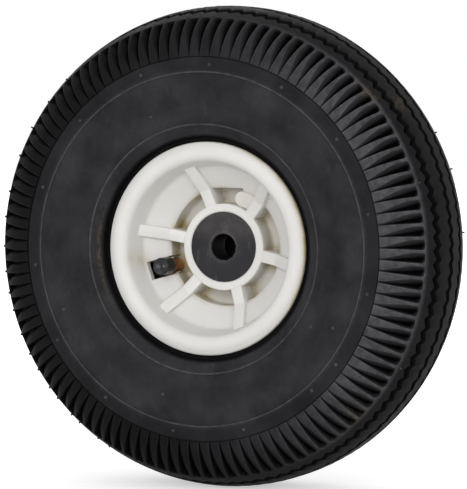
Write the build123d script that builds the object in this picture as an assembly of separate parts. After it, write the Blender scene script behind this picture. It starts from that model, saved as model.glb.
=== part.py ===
from build123d import *
import math
import os

# Air-filled wheel of a garden machine, in millimetres. The wheel spins about the Y axis, its
# origin is the wheel's centre, and the dished face with the valve looks towards -Y.

# Tyre
TYRE_R = 132.0
CROWN_R = 58.0
CROWN_WALL = 11.0
TREAD_HALF = 29.2
SIDE_HALF = 42.2
SIDE_R = 86.0
SIDE_WALL = 4.4
FOOT_LEDGE = 0.7

# Tread pattern: sawtooth grooves round the crown, tapered fins down each shoulder
PITCHES = 110
GROOVE_WIDTH = 3.3
GROOVE_DEPTH = 3.2
GROOVE_SPACING = 13.2
GROOVE_COUNT = 4
SAW_SWING = 1.2
SAW_SPLIT = 0.62
FIN_HEIGHT = 20.3
FIN_FOOT_DROP = 1.6
FIN_BULGE = 2.7
FIN_GAP_WIDTH = 3.6
FIN_GAP_MID_WIDTH = 2.0
FIN_GAP_FLOOR_WIDTH = 0.8
FIN_GAP_FLOOR_ASIDE = -0.6
FIN_GAP_DEPTH = 4.2
FIN_GAP_LEAN = 40.0

# Bead, where the tyre grips the rim
BEAD_FIT = 0.1
BEAD_GAP = 2.8
BEAD_EDGE_RISE = 3.4
BEAD_LINE_R = 67.2
BEAD_LINE_Y = 37.2
CAVITY_CROWN_HALF = 16.0
CAVITY_SHOULDER_R = 112.5
CAVITY_SHOULDER_HALF = 31.5
CAVITY_LOW_R = 66.0
CAVITY_LOW_HALF = 32.6

# Inner tube
TUBE_WALL = 2.0
TUBE_FIT = 0.3

# Rim, a one-piece moulding
SEAT_R = 50.8
SEAT_IN = 16.0
SEAT_OUT = 27.6
LIP_R = 57.8
LIP_EDGE_Y = 31.4
LIP_FLANGE_Y = 29.4
LIP_CREST_R = 53.0
LIP_CREST_Y = 33.7
LIP_IN_R = 47.8
LIP_IN_Y = 32.0
WELL_R = 45.8
WELL_HALF = 12.5
BARREL_WALL = 3.8
DISH_R = 44.5
DISH_Y = 17.0
WEB_R = 32.3
WEB_Y = 6.0
WEB_WALL = 4.5
POCKET_FLOOR_Y = 5.0
POCKET_FLAT_ANGLE = 90.0
POCKET_FLAT_HALF = 11.0
HUB_R = 23.8
HUB_FRONT = 9.0
HUB_REAR = 48.0
HUB_BORE_R = 16.5
HUB_CHAMFER = 0.7
REAR_DISH_R = 46.4
REAR_DISH_Y = 18.5

# Spokes: low ribs across the front of the web, gussets along the hub behind it
SPOKES = 6
SPOKE_ANGLE = 48.6
SPOKE_WIDTH = 6.5
SPOKE_HUB_Y = 8.2
SPOKE_WEB_RISE = 4.4
SPOKE_END_Y = 23.8
GUSSET_HUB_Y = 42.0
GUSSET_RIM_Y = 25.0
PAD_END_R = 4.2
PAD_PLACE_R = 28.1
PAD_ANGLE = 69.2

# Bushes that run on the axle
AXLE_R = 7.0
AXLE_CLEARANCE = 0.05
BUSH_R = 19.2
BUSH_FIT = 0.02
BUSH_LENGTH = 18.0
BUSH_RECESS = 0.2
BUSH_CHAMFER = 0.5

# Valve, bent at a right angle: its stem lies along -Y and its leg goes out through the rim
VALVE_ANGLE = 198.4
VALVE_TIP_Y = -18.3
VALVE_LEG_Y = 7.6
STEM_R = 3.85
STEM_CORE_R = 2.65
STEM_AIR_R = 1.4
STEM_BEND_R = 7.5
STEM_BEND_STEPS = 4
STEM_FOOT_R = 7.0
STEM_FOOT_THICK = 1.6
STEM_HOLE_CLEARANCE = 0.6
STEM_SEAL_FIT = 0.02
WINDOW_STEP = 1.4
WINDOW_CLEARANCE = 0.15
WINDOW_EXTRA = 0.3

# Valve cap
CAP_R = 4.9
CAP_LENGTH = 10.4
CAP_END_WALL = 1.6
CAP_TAPER = 0.15
CAP_CHAMFER = 0.9
CAP_THREAD_CLEARANCE = 0.12
CAP_DIMPLE_R = 1.5
CAP_DIMPLE_DEPTH = 0.5

# Valve core, measured inwards from the stem's tip
CORE_SET_BACK = 0.6
CORE_PLUG_LENGTH = 4.4
CORE_CLEARANCE = 0.06
CORE_BARREL_R = 1.95
CORE_BARREL_LENGTH = 6.6
CORE_BARREL_WALL = 0.4
CORE_END_WALL = 0.7
CORE_WASHER_LENGTH = 1.0
PIN_R = 0.6
PIN_CLEARANCE = 0.15
PIN_SET_BACK = 0.3
PIN_COLLAR_R = 1.15
PIN_COLLAR_LENGTH = 0.5
PIN_CUP_R = 1.75
PIN_CUP_LENGTH = 1.3
PIN_WASHER_LENGTH = 0.6
PIN_TRAVEL = 1.2
PIN_ROOM = 1.8
SPRING_WIRE_R = 0.17
SPRING_WIRE_SIDES = 4
SPRING_R = 1.2
SPRING_TURNS = 4

FULL_TURN = 360.0
PITCH_HALF = FULL_TURN / PITCHES / 2
HUB_SEAT_R = BUSH_R + BUSH_FIT
BORE_R = AXLE_R + AXLE_CLEARANCE
BARREL_IN_R = WELL_R - BARREL_WALL
VALVE_PLACE_R = BARREL_IN_R - STEM_BEND_R
CORE_PLUG_END = CORE_SET_BACK + CORE_PLUG_LENGTH
CORE_END = CORE_PLUG_END + CORE_BARREL_LENGTH
CORE_CHAMBER = CORE_END + PIN_WASHER_LENGTH + PIN_CUP_LENGTH + PIN_TRAVEL + PIN_ROOM
CORE_ROOM_R = CORE_BARREL_R - CORE_BARREL_WALL
PIN_HOLE_R = PIN_R + PIN_CLEARANCE
PIN_COLLAR_END = CORE_PLUG_END + PIN_COLLAR_LENGTH


def polar(radius, y, angle):
    """A point at an angle, in degrees, from +X towards +Z."""
    turn = math.radians(angle)
    return Vector(radius * math.cos(turn), y, radius * math.sin(turn))


def at_angle(shape, angle):
    """Turn a shape drawn along +X to an angle from +X towards +Z."""
    return Rot(0, -angle, 0) * shape


def spun(points, axis=Axis.Y):
    """A turned solid whose half section is a closed outline in the XY plane."""
    return revolve(make_face(Polyline(*points, close=True)), axis)


def plate(points, width):
    """A flat rib, drawn as a side outline in the XY plane, centred on that plane."""
    return extrude(make_face(Polyline(*points, close=True)), amount=width / 2, both=True)


def facet(*points):
    """A flat face between straight edges."""
    return Face(Wire.make_polygon(points))


def mirrored(points):
    """The half section's points with their copies on the other side, from -Y to +Y."""
    return [(r, -y) for r, y in points] + [(r, y) for r, y in reversed(points)]


def crown(y):
    """Radius of the tread's crown at a distance from the tyre's middle."""
    return TYRE_R - CROWN_R + math.sqrt(CROWN_R**2 - y**2)


# Shoulder fins: the shoulder edge, the fins' foot on the sidewall and the bulge between them
SHOULDER_R = crown(TREAD_HALF)
FOOT_R = SHOULDER_R - FIN_HEIGHT
FOOT_Y = SIDE_HALF - FIN_FOOT_DROP
FIN_LENGTH = math.hypot(FIN_HEIGHT, FOOT_Y - TREAD_HALF)
BULGE_R = (SHOULDER_R + FOOT_R) / 2 + FIN_BULGE * (FOOT_Y - TREAD_HALF) / FIN_LENGTH
BULGE_Y = (TREAD_HALF + FOOT_Y) / 2 + FIN_BULGE * FIN_HEIGHT / FIN_LENGTH
GAP_FLOOR_R = SHOULDER_R - FIN_GAP_DEPTH * math.cos(math.radians(FIN_GAP_LEAN))
GAP_FLOOR_Y = TREAD_HALF - FIN_GAP_DEPTH * math.sin(math.radians(FIN_GAP_LEAN))


def gap_sides(width, radius, aside=0.0):
    """Angles of the two sides of a fin gap, which lies aside of the end of the pitch."""
    return [PITCH_HALF + math.degrees((aside + way * width / 2) / radius) for way in (-1, 1)]


def tread_ribs():
    """Nominal edges of the ribs between the sawtooth grooves, from -Y to +Y."""
    first = -GROOVE_SPACING * (GROOVE_COUNT - 1) / 2
    centres = [first + GROOVE_SPACING * i for i in range(GROOVE_COUNT)]
    starts = [-TREAD_HALF] + [c + GROOVE_WIDTH / 2 for c in centres]
    ends = [c - GROOVE_WIDTH / 2 for c in centres] + [TREAD_HALF]
    return centres, list(zip(starts, ends))


def rib_point(rib, y, angle):
    """A point on a rib's top, which is flat over one pitch and meets the next at the pitch's end."""
    start, end = rib
    slope = (crown(end) - crown(start)) / (end - start)
    flat = (crown(start) + slope * (y - start)) * math.cos(math.radians(PITCH_HALF))
    return polar(flat / math.cos(math.radians(angle)), y, angle)


def saw_line():
    """Angles and side swings of the sawtooth over one pitch."""
    tip = -PITCH_HALF + 2 * PITCH_HALF * SAW_SPLIT
    return [(-PITCH_HALF, SAW_SWING), (tip, -SAW_SWING), (PITCH_HALF, SAW_SWING)]


def tread_facets():
    """Rib tops and groove walls of the crown over one pitch."""
    centres, ribs = tread_ribs()
    saw = saw_line()
    facets = []
    for i, centre in enumerate(centres):
        near = [rib_point(ribs[i], centre - GROOVE_WIDTH / 2 + s, a) for a, s in saw]
        far = [rib_point(ribs[i + 1], centre + GROOVE_WIDTH / 2 + s, a) for a, s in saw]
        floor = [polar(crown(centre) - GROOVE_DEPTH, centre + s, a) for a, s in saw]
        for j in range(len(saw) - 1):
            for edge in (near, far):
                facets.append(facet(edge[j], edge[j + 1], floor[j + 1]))
                facets.append(facet(edge[j], floor[j + 1], floor[j]))
    for i, rib in enumerate(ribs[1:-1], start=1):
        low = [rib_point(rib, centres[i - 1] + GROOVE_WIDTH / 2 + s, a) for a, s in saw]
        high = [rib_point(rib, centres[i] - GROOVE_WIDTH / 2 + s, a) for a, s in saw]
        facets.append(facet(*low, *reversed(high)))
    return facets


def shoulder_facets(side):
    """Outer rib, fin and the gap beside the fin over one pitch, on the side of -Y or +Y."""
    centres, ribs = tread_ribs()
    rib = ribs[0] if side < 0 else ribs[-1]
    groove = (centres[0] - GROOVE_WIDTH / 2) if side < 0 else (centres[-1] + GROOVE_WIDTH / 2)
    brow_turns = gap_sides(FIN_GAP_WIDTH, SHOULDER_R)
    cheek_turns = gap_sides(FIN_GAP_MID_WIDTH, BULGE_R)
    base_turns = gap_sides(FIN_GAP_FLOOR_WIDTH, GAP_FLOOR_R, FIN_GAP_FLOOR_ASIDE)

    brink_turns = (-PITCH_HALF, -brow_turns[0], brow_turns[0], PITCH_HALF)
    brink = [rib_point(rib, side * TREAD_HALF, a) for a in brink_turns]
    saw = [rib_point(rib, groove + s, a) for a, s in saw_line()]
    bulge = [polar(BULGE_R, side * BULGE_Y, a) for a in (-cheek_turns[0], cheek_turns[0])]
    foot = [polar(FOOT_R, side * FOOT_Y, a) for a in (-PITCH_HALF, PITCH_HALF)]
    facets = [
        facet(*brink, *reversed(saw)),
        facet(brink[1], brink[2], bulge[1], bulge[0]),
        facet(bulge[0], bulge[1], foot[1], foot[0]),
    ]

    gap_end = foot[1]
    peak = brink[3]
    brow_r = math.hypot(brink[2].X, brink[2].Z)
    bases = [polar(GAP_FLOOR_R, side * GAP_FLOOR_Y, turn) for turn in base_turns]
    for brow_turn, cheek_turn, base in zip(brow_turns, cheek_turns, bases):
        brow = polar(brow_r, side * TREAD_HALF, brow_turn)
        cheek = polar(BULGE_R, side * BULGE_Y, cheek_turn)
        facets += [facet(gap_end, cheek, base), facet(cheek, brow, base), facet(brow, peak, base)]
    facets += [facet(peak, *bases), facet(gap_end, *bases)]
    return facets


def cavity_half():
    """Inside of the tyre on one side, from the bead's toe to the crown."""
    return [
        (SEAT_R + BEAD_FIT, SEAT_IN + BEAD_FIT),
        (CAVITY_LOW_R, CAVITY_LOW_HALF),
        (SIDE_R, SIDE_HALF - SIDE_WALL),
        (CAVITY_SHOULDER_R, CAVITY_SHOULDER_HALF),
        (TYRE_R - CROWN_WALL, CAVITY_CROWN_HALF),
    ]


def make_tyre():
    """Tyre: a turned casing closed by the sawtooth tread and the shoulder fins."""
    outside = [
        (FOOT_R - FOOT_LEDGE, FOOT_Y),
        (SIDE_R, SIDE_HALF),
        (BEAD_LINE_R, BEAD_LINE_Y),
        (LIP_R + BEAD_GAP, LIP_FLANGE_Y + BEAD_EDGE_RISE),
        (LIP_R + BEAD_GAP, LIP_FLANGE_Y - BEAD_FIT),
        (LIP_R + BEAD_FIT, LIP_FLANGE_Y - BEAD_FIT),
        (SEAT_R + BEAD_FIT, SEAT_OUT - BEAD_FIT),
    ]
    half = outside + cavity_half()
    casing = Shell.revolve(Wire(Polyline(*mirrored(half)).edges()), FULL_TURN, Axis.Y)
    faces = list(casing.faces())
    for side in (-1, 1):
        ledge = [e for e in casing.edges().filter_by(GeomType.CIRCLE)
                 if abs(e.radius - (FOOT_R - FOOT_LEDGE)) < FOOT_LEDGE / 2 and e.arc_center.Y * side > 0]
        foot = [polar(FOOT_R, side * FOOT_Y, PITCH_HALF * (2 * i + 1)) for i in range(PITCHES)]
        faces.append(Face(Wire.make_polygon(foot), [Wire(ledge)]))
    pitch = tread_facets() + shoulder_facets(-1) + shoulder_facets(1)
    for i in range(PITCHES):
        faces += [at_angle(face, 2 * PITCH_HALF * i) for face in pitch]
    return Solid(Shell(faces))


def make_inner_tube():
    """Inner tube: thin-walled ring blown up against the tyre, pierced by the valve's leg."""
    cavity = make_face(Polyline(*mirrored(cavity_half()), close=True))
    outer = offset(cavity, -TUBE_FIT, kind=Kind.INTERSECTION)
    inner = offset(cavity, -TUBE_FIT - TUBE_WALL, kind=Kind.INTERSECTION)
    tube = revolve(outer - inner, Axis.Y)
    return tube - valve_bore(STEM_R + STEM_SEAL_FIT, tube_floor() + TUBE_WALL + STEM_FOOT_THICK)


def tube_floor():
    """Radius of the inner tube's face towards the rim."""
    return SEAT_R + BEAD_FIT + TUBE_FIT


def valve_bore(radius, reach):
    """A round cutter along the valve's leg, from the valve's place out to a radius."""
    leg = Pos((VALVE_PLACE_R + reach) / 2, VALVE_LEG_Y, 0) * Rot(0, 90, 0)
    return at_angle(leg * Cylinder(radius, reach - VALVE_PLACE_R), VALVE_ANGLE)


def valve_window():
    """Cutter for the valve: window in the web, slot behind it through the barrel, room for the bend."""
    cap_room = CAP_R + WINDOW_CLEARANCE
    stem_room = STEM_R + STEM_HOLE_CLEARANCE
    width = 2 * cap_room + WINDOW_EXTRA
    window_in = VALVE_PLACE_R - cap_room
    window_out = BARREL_IN_R + WINDOW_STEP
    slot_in = WEB_R + WEB_WALL
    bend_in = VALVE_PLACE_R - stem_room
    window = Box(window_out - window_in, DISH_Y + POCKET_FLOOR_Y, width)
    window = Pos((window_out + window_in) / 2, (POCKET_FLOOR_Y - DISH_Y) / 2, WINDOW_EXTRA / 2) * window
    slot = Box(SEAT_R - slot_in, WELL_HALF + VALVE_LEG_Y, width)
    slot = Pos((SEAT_R + slot_in) / 2, (VALVE_LEG_Y - WELL_HALF) / 2, WINDOW_EXTRA / 2) * slot
    bend = Box(BARREL_IN_R - bend_in, VALVE_LEG_Y + stem_room, 2 * stem_room)
    bend = Pos((BARREL_IN_R + bend_in) / 2, (VALVE_LEG_Y + stem_room) / 2, 0) * bend
    return at_angle(window + slot + bend, VALVE_ANGLE)


def make_rim():
    """Rim: barrel with two lips, dished web, pocket round the hub, ribs, gussets and valve window."""
    web_slope = (WEB_Y - DISH_Y) / (DISH_R - WEB_R)
    web_lift = WEB_WALL * math.hypot(1, web_slope)
    pocket_out = WEB_R + WEB_WALL
    web_back = [(r, -WEB_Y + web_slope * (r - WEB_R) + web_lift) for r in (BARREL_IN_R, pocket_out)]
    lip = [
        (LIP_IN_R, LIP_IN_Y),
        (LIP_CREST_R, LIP_CREST_Y),
        (LIP_R, LIP_EDGE_Y),
        (LIP_R, LIP_FLANGE_Y),
        (SEAT_R, SEAT_OUT),
        (SEAT_R, SEAT_IN),
        (WELL_R, WELL_HALF),
    ]
    front = [
        (HUB_SEAT_R + HUB_CHAMFER, -HUB_FRONT),
        (HUB_R, -HUB_FRONT),
        (HUB_R, POCKET_FLOOR_Y),
        (WEB_R, POCKET_FLOOR_Y),
        (WEB_R, -WEB_Y),
        (DISH_R, -DISH_Y),
    ]
    back = [
        (REAR_DISH_R, REAR_DISH_Y),
        (BARREL_IN_R, REAR_DISH_Y + BARREL_IN_R - REAR_DISH_R),
        *web_back,
        (pocket_out, POCKET_FLOOR_Y + WEB_WALL),
        (HUB_R, POCKET_FLOOR_Y + WEB_WALL),
        (HUB_R, HUB_REAR),
        (HUB_SEAT_R + HUB_CHAMFER, HUB_REAR),
    ]
    seats = [
        (HUB_SEAT_R, HUB_REAR - HUB_CHAMFER),
        (HUB_SEAT_R, HUB_REAR - BUSH_RECESS - BUSH_LENGTH),
        (HUB_BORE_R, HUB_REAR - BUSH_RECESS - BUSH_LENGTH),
        (HUB_BORE_R, -HUB_FRONT + BUSH_RECESS + BUSH_LENGTH),
        (HUB_SEAT_R, -HUB_FRONT + BUSH_RECESS + BUSH_LENGTH),
        (HUB_SEAT_R, -HUB_FRONT + HUB_CHAMFER),
    ]
    rim = spun(front + mirrored(lip) + back + seats)
    flat = Box(WEB_R - HUB_R, POCKET_FLOOR_Y + DISH_Y, 2 * POCKET_FLAT_HALF)
    flat = Pos((WEB_R + HUB_R) / 2, (POCKET_FLOOR_Y - DISH_Y) / 2, 0) * flat
    rim -= at_angle(flat, POCKET_FLAT_ANGLE)
    hub_core_r = (HUB_SEAT_R + HUB_R) / 2
    dish_core_r = (DISH_R + SEAT_R) / 2
    barrel_core_r = BARREL_IN_R + BARREL_WALL / 2
    pocket_core_r = WEB_R + WEB_WALL / 2
    web_core = [
        (r, -WEB_Y + web_slope * (r - WEB_R) + web_lift / 2)
        for r in (barrel_core_r, pocket_core_r)
    ]
    spoke_foot_y = POCKET_FLOOR_Y + WEB_WALL / 2
    spoke = plate(
        [
            (hub_core_r, -SPOKE_HUB_Y),
            (WEB_R, -WEB_Y - SPOKE_WEB_RISE),
            (dish_core_r, -SPOKE_END_Y),
            (dish_core_r, -DISH_Y),
            (pocket_core_r, spoke_foot_y),
            (hub_core_r, spoke_foot_y),
        ],
        SPOKE_WIDTH,
    )
    gusset = plate(
        [
            (hub_core_r, GUSSET_HUB_Y),
            (HUB_R, GUSSET_HUB_Y),
            (LIP_IN_R, GUSSET_RIM_Y),
            ((REAR_DISH_R + SEAT_R) / 2, REAR_DISH_Y),
            (barrel_core_r, WELL_HALF),
            *web_core,
            (pocket_core_r, spoke_foot_y),
            (hub_core_r, spoke_foot_y),
        ],
        SPOKE_WIDTH,
    )
    for i in range(SPOKES):
        angle = SPOKE_ANGLE + FULL_TURN / SPOKES * i
        rim += at_angle(spoke, angle)
        rim += at_angle(gusset, angle)
    pad_height = spoke_foot_y + WEB_Y
    pad_reach = PAD_PLACE_R * math.tan(math.radians(PAD_ANGLE - SPOKE_ANGLE))
    pad = Rot(90, 0, 0) * Cylinder(PAD_END_R, pad_height)
    pad += Pos(0, 0, -pad_reach / 2) * Box(2 * PAD_END_R, pad_height, pad_reach)
    rim += at_angle(Pos(PAD_PLACE_R, spoke_foot_y - pad_height / 2, 0) * pad, PAD_ANGLE)
    return rim - valve_window() - valve_bore(STEM_R + STEM_HOLE_CLEARANCE, SEAT_R)


def make_bush(face_y, inward):
    """Bush pressed into one end of the hub, its face at face_y and its body inward along Y."""
    back_y = face_y + inward * BUSH_LENGTH
    return spun([
        (BORE_R + BUSH_CHAMFER, face_y),
        (BUSH_R, face_y),
        (BUSH_R, back_y),
        (BORE_R, back_y),
        (BORE_R, face_y + inward * BUSH_CHAMFER),
    ])


def on_valve(shape):
    """Move a shape drawn along +Y from the stem's tip to the valve's place."""
    return at_angle(Pos(VALVE_PLACE_R, VALVE_TIP_Y, 0) * shape, VALVE_ANGLE)


def make_valve_stem():
    """Bent stem: threaded tip for the cap, elbow, leg through the rim and foot inside the tube."""
    bend_y = VALVE_LEG_Y - STEM_BEND_R
    foot_r = tube_floor() + TUBE_WALL + TUBE_FIT
    path = [(VALVE_PLACE_R, VALVE_TIP_Y)]
    for i in range(STEM_BEND_STEPS + 1):
        turn = math.pi / 2 * i / STEM_BEND_STEPS
        out = STEM_BEND_R * (1 - math.cos(turn))
        path.append((VALVE_PLACE_R + out, bend_y + STEM_BEND_R * math.sin(turn)))
    path.append((foot_r + STEM_FOOT_THICK, VALVE_LEG_Y))
    tip = Plane(origin=(VALVE_PLACE_R, VALVE_TIP_Y, 0), z_dir=(0, 1, 0))
    stem = sweep(tip * Circle(STEM_R), path=Polyline(*path), transition=Transition.RIGHT)
    foot = Pos(foot_r + STEM_FOOT_THICK / 2, VALVE_LEG_Y, 0) * Rot(0, 90, 0)
    stem += foot * Cylinder(STEM_FOOT_R, STEM_FOOT_THICK)
    for radius, depth in ((STEM_CORE_R, CORE_CHAMBER), (STEM_AIR_R, VALVE_LEG_Y - VALVE_TIP_Y)):
        hole = Pos(VALVE_PLACE_R, VALVE_TIP_Y + depth / 2, 0) * Rot(90, 0, 0)
        stem -= hole * Cylinder(radius, depth)
    leg_length = foot_r + STEM_FOOT_THICK - VALVE_PLACE_R
    leg_hole = Pos(VALVE_PLACE_R + leg_length / 2, VALVE_LEG_Y, 0) * Rot(0, 90, 0)
    stem -= leg_hole * Cylinder(STEM_AIR_R, leg_length)
    return at_angle(stem, VALVE_ANGLE)


def make_valve_cap():
    """Screw-on dust cap: tapered cup with a broken edge and a dimple in its end."""
    end_y = -CAP_END_WALL
    mouth_y = end_y + CAP_LENGTH
    bore_r = STEM_R + CAP_THREAD_CLEARANCE
    return on_valve(spun([
        (0, end_y + CAP_DIMPLE_DEPTH),
        (CAP_DIMPLE_R, end_y),
        (CAP_R - CAP_TAPER - CAP_CHAMFER, end_y),
        (CAP_R - CAP_TAPER, end_y + CAP_CHAMFER),
        (CAP_R, mouth_y),
        (bore_r, mouth_y),
        (bore_r, -CAP_THREAD_CLEARANCE),
        (0, -CAP_THREAD_CLEARANCE),
    ]))


def make_valve_core():
    """Core: plug screwed into the stem, with a barrel that houses the spring."""
    return on_valve(spun([
        (CORE_ROOM_R, CORE_SET_BACK),
        (STEM_CORE_R - CORE_CLEARANCE, CORE_SET_BACK),
        (STEM_CORE_R - CORE_CLEARANCE, CORE_PLUG_END),
        (CORE_BARREL_R, CORE_PLUG_END),
        (CORE_BARREL_R, CORE_END),
        (PIN_HOLE_R, CORE_END),
        (PIN_HOLE_R, CORE_END - CORE_END_WALL),
        (CORE_ROOM_R, CORE_END - CORE_END_WALL),
    ]))


def make_core_washer():
    """Ring that seals the core's plug in the stem."""
    inside = CORE_BARREL_R + CORE_CLEARANCE
    outside = STEM_CORE_R - CORE_CLEARANCE
    end = CORE_PLUG_END + CORE_WASHER_LENGTH
    corners = [(inside, CORE_PLUG_END), (outside, CORE_PLUG_END), (outside, end), (inside, end)]
    return on_valve(spun(corners))


def make_valve_pin():
    """Pin: pressed at its tip to let air through, with a collar for the spring and a cup below."""
    cup = CORE_END + PIN_WASHER_LENGTH
    return on_valve(spun([
        (0, PIN_SET_BACK),
        (PIN_R, PIN_SET_BACK),
        (PIN_R, CORE_PLUG_END),
        (PIN_COLLAR_R, CORE_PLUG_END),
        (PIN_COLLAR_R, PIN_COLLAR_END),
        (PIN_R, PIN_COLLAR_END),
        (PIN_R, cup),
        (PIN_CUP_R, cup),
        (PIN_CUP_R, cup + PIN_CUP_LENGTH),
        (0, cup + PIN_CUP_LENGTH),
    ]))


def make_pin_washer():
    """Soft ring on the pin that closes the core's end."""
    inside = PIN_R + CORE_CLEARANCE
    end = CORE_END + PIN_WASHER_LENGTH
    return on_valve(spun([(inside, CORE_END), (PIN_CUP_R, CORE_END), (PIN_CUP_R, end), (inside, end)]))


def make_valve_spring():
    """Spring between the pin's collar and the floor of the core's barrel."""
    start = PIN_COLLAR_END + SPRING_WIRE_R
    length = CORE_END - CORE_END_WALL - SPRING_WIRE_R - start
    coil = Helix(pitch=length / SPRING_TURNS, height=length, radius=SPRING_R)
    wire = Plane(origin=coil @ 0, z_dir=coil % 0) * RegularPolygon(SPRING_WIRE_R, SPRING_WIRE_SIDES)
    spring = sweep(wire, path=coil, is_frenet=True)
    return on_valve(Pos(0, start, 0) * Rot(-90, 0, 0) * spring)


PARTS = {
    "tyre": make_tyre(),
    "inner_tube": make_inner_tube(),
    "rim": make_rim(),
    "front_bush": make_bush(-HUB_FRONT + BUSH_RECESS, 1),
    "rear_bush": make_bush(HUB_REAR - BUSH_RECESS, -1),
    "valve_stem": make_valve_stem(),
    "valve_cap": make_valve_cap(),
    "valve_core": make_valve_core(),
    "core_washer": make_core_washer(),
    "valve_pin": make_valve_pin(),
    "pin_washer": make_pin_washer(),
    "valve_spring": make_valve_spring(),
}

os.makedirs("parts", exist_ok=True)
for name, shape in PARTS.items():
    export_step(shape, f"parts/{name}.step")
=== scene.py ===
"""Looks of an air-filled wheel for a garden machine: tyre, moulded rim, bushes and bent valve."""

import logging
import math
from dataclasses import dataclass
from enum import Enum

import bmesh
import bpy
import numpy as np
from mathutils import Matrix, Vector


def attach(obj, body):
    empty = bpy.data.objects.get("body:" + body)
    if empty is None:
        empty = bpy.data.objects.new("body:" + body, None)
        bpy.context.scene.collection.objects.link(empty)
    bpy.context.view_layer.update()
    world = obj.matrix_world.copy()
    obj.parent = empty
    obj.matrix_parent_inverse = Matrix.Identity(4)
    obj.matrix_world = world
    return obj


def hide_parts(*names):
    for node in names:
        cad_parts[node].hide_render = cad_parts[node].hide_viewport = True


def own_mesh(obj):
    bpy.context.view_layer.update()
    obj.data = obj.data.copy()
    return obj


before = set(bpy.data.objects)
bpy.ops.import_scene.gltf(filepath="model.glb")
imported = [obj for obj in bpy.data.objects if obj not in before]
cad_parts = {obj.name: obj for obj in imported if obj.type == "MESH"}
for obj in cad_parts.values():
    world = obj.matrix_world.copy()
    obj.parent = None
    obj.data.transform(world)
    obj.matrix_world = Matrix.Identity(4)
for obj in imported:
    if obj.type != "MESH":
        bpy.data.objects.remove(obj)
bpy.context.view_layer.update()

MM = 0.001
LOG = logging.getLogger("wheel")

Point = tuple[float, float]
Colour = tuple[float, float, float]
Corner = tuple[float, float, float]
Grid = tuple[np.ndarray, np.ndarray]
Sockets = bpy.types.bpy_prop_collection

SHARP = 42.0
DOUBLED = 1e-7
TUBE_SIDES = 40
ROUND_STEPS = 5


class Side(Enum):
    """Face of the wheel: the dished one with the valve, or the one with the long hub."""

    FRONT = -1
    REAR = 1


class Body(Enum):
    """Moving body that a piece rides on."""

    WHEEL = "wheel"
    CAP = "cap"


# Mesh helpers


def circle(count: int) -> np.ndarray:
    """Angles, in radians, of points spread evenly round a circle."""
    return np.arange(count) * 2 * math.pi / count


def link(name: str, data: bpy.types.ID) -> bpy.types.Object:
    """Put a new object into the scene.

    Args:
        name: Its name.
        data: Its mesh, lamp or camera.

    Returns:
        The object.
    """
    obj = bpy.data.objects.new(name, data)
    bpy.context.scene.collection.objects.link(obj)
    return obj


def settled(form: bmesh.types.BMesh, name: str) -> bpy.types.Mesh:
    """Make a mesh of a form and free the form.

    Args:
        form: The form.
        name: The mesh's name.

    Returns:
        The mesh.
    """
    mesh = bpy.data.meshes.new(name)
    form.to_mesh(mesh)
    form.free()
    return mesh


def face_out(mesh: bpy.types.Mesh) -> None:
    """Join a mesh's doubled points and turn its faces outward.

    Args:
        mesh: The mesh.
    """
    form = bmesh.new()
    form.from_mesh(mesh)
    bmesh.ops.remove_doubles(form, verts=form.verts, dist=DOUBLED)
    bmesh.ops.recalc_face_normals(form, faces=form.faces)
    form.to_mesh(mesh)
    form.free()


def polar(radius: np.ndarray, y: np.ndarray, turn: np.ndarray) -> np.ndarray:
    """Points in metres, from millimetres off and along the wheel's axis and radians from +X towards +Z."""
    radius, y, turn = np.broadcast_arrays(radius, y, turn)
    return np.stack([radius * np.cos(turn), y, radius * np.sin(turn)], axis=-1) * MM


def grid_faces(rows: int, columns: int, closed_rows: bool = False) -> np.ndarray:
    """Quads of a grid that closes on itself along its columns.

    Args:
        rows: Number of rows of points.
        columns: Number of points in each row.
        closed_rows: Whether the last row joins the first.

    Returns:
        Four point numbers for each quad.
    """
    i = np.arange(columns)
    j = np.arange(rows if closed_rows else rows - 1)[:, None]
    after = (i + 1) % columns
    here, over = j * columns, (j + 1) % rows * columns
    return np.stack([here + i, here + after, over + after, over + i], -1).reshape(-1, 4)


def new_mesh(
    name: str, parts: list[Grid], sharp: float = SHARP, marks: dict[str, np.ndarray] | None = None
) -> bpy.types.Object:
    """An object from grids of points, shaded smooth but for its sharp edges.

    Args:
        name: Name of the piece.
        parts: Points, in metres, and quads of each grid.
        sharp: Angle between faces, in degrees, above which an edge stays sharp.
        marks: Values stored for each point, by name.

    Returns:
        The new object, linked to the scene.
    """
    points, faces, start = [], [], 0
    for co, quads in parts:
        points.append(co.reshape(-1, 3))
        faces.append(quads + start)
        start += len(points[-1])
    mesh = bpy.data.meshes.new(name)
    mesh.from_pydata(np.concatenate(points).tolist(), [], np.concatenate(faces).tolist())
    for label, values in (marks or {}).items():
        mark(mesh, label, values)
    return finish_mesh(name, mesh, sharp)


def finish_mesh(name: str, mesh: bpy.types.Mesh, sharp: float) -> bpy.types.Object:
    """Turn a mesh's faces outward, shade it and link it to the scene.

    Args:
        name: Name of the piece.
        mesh: The mesh to finish.
        sharp: Angle between faces, in degrees, above which an edge stays sharp.

    Returns:
        The new object.
    """
    face_out(mesh)
    mesh.shade_smooth()
    mesh.set_sharp_from_angle(angle=math.radians(sharp))
    return link(name, mesh)


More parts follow.
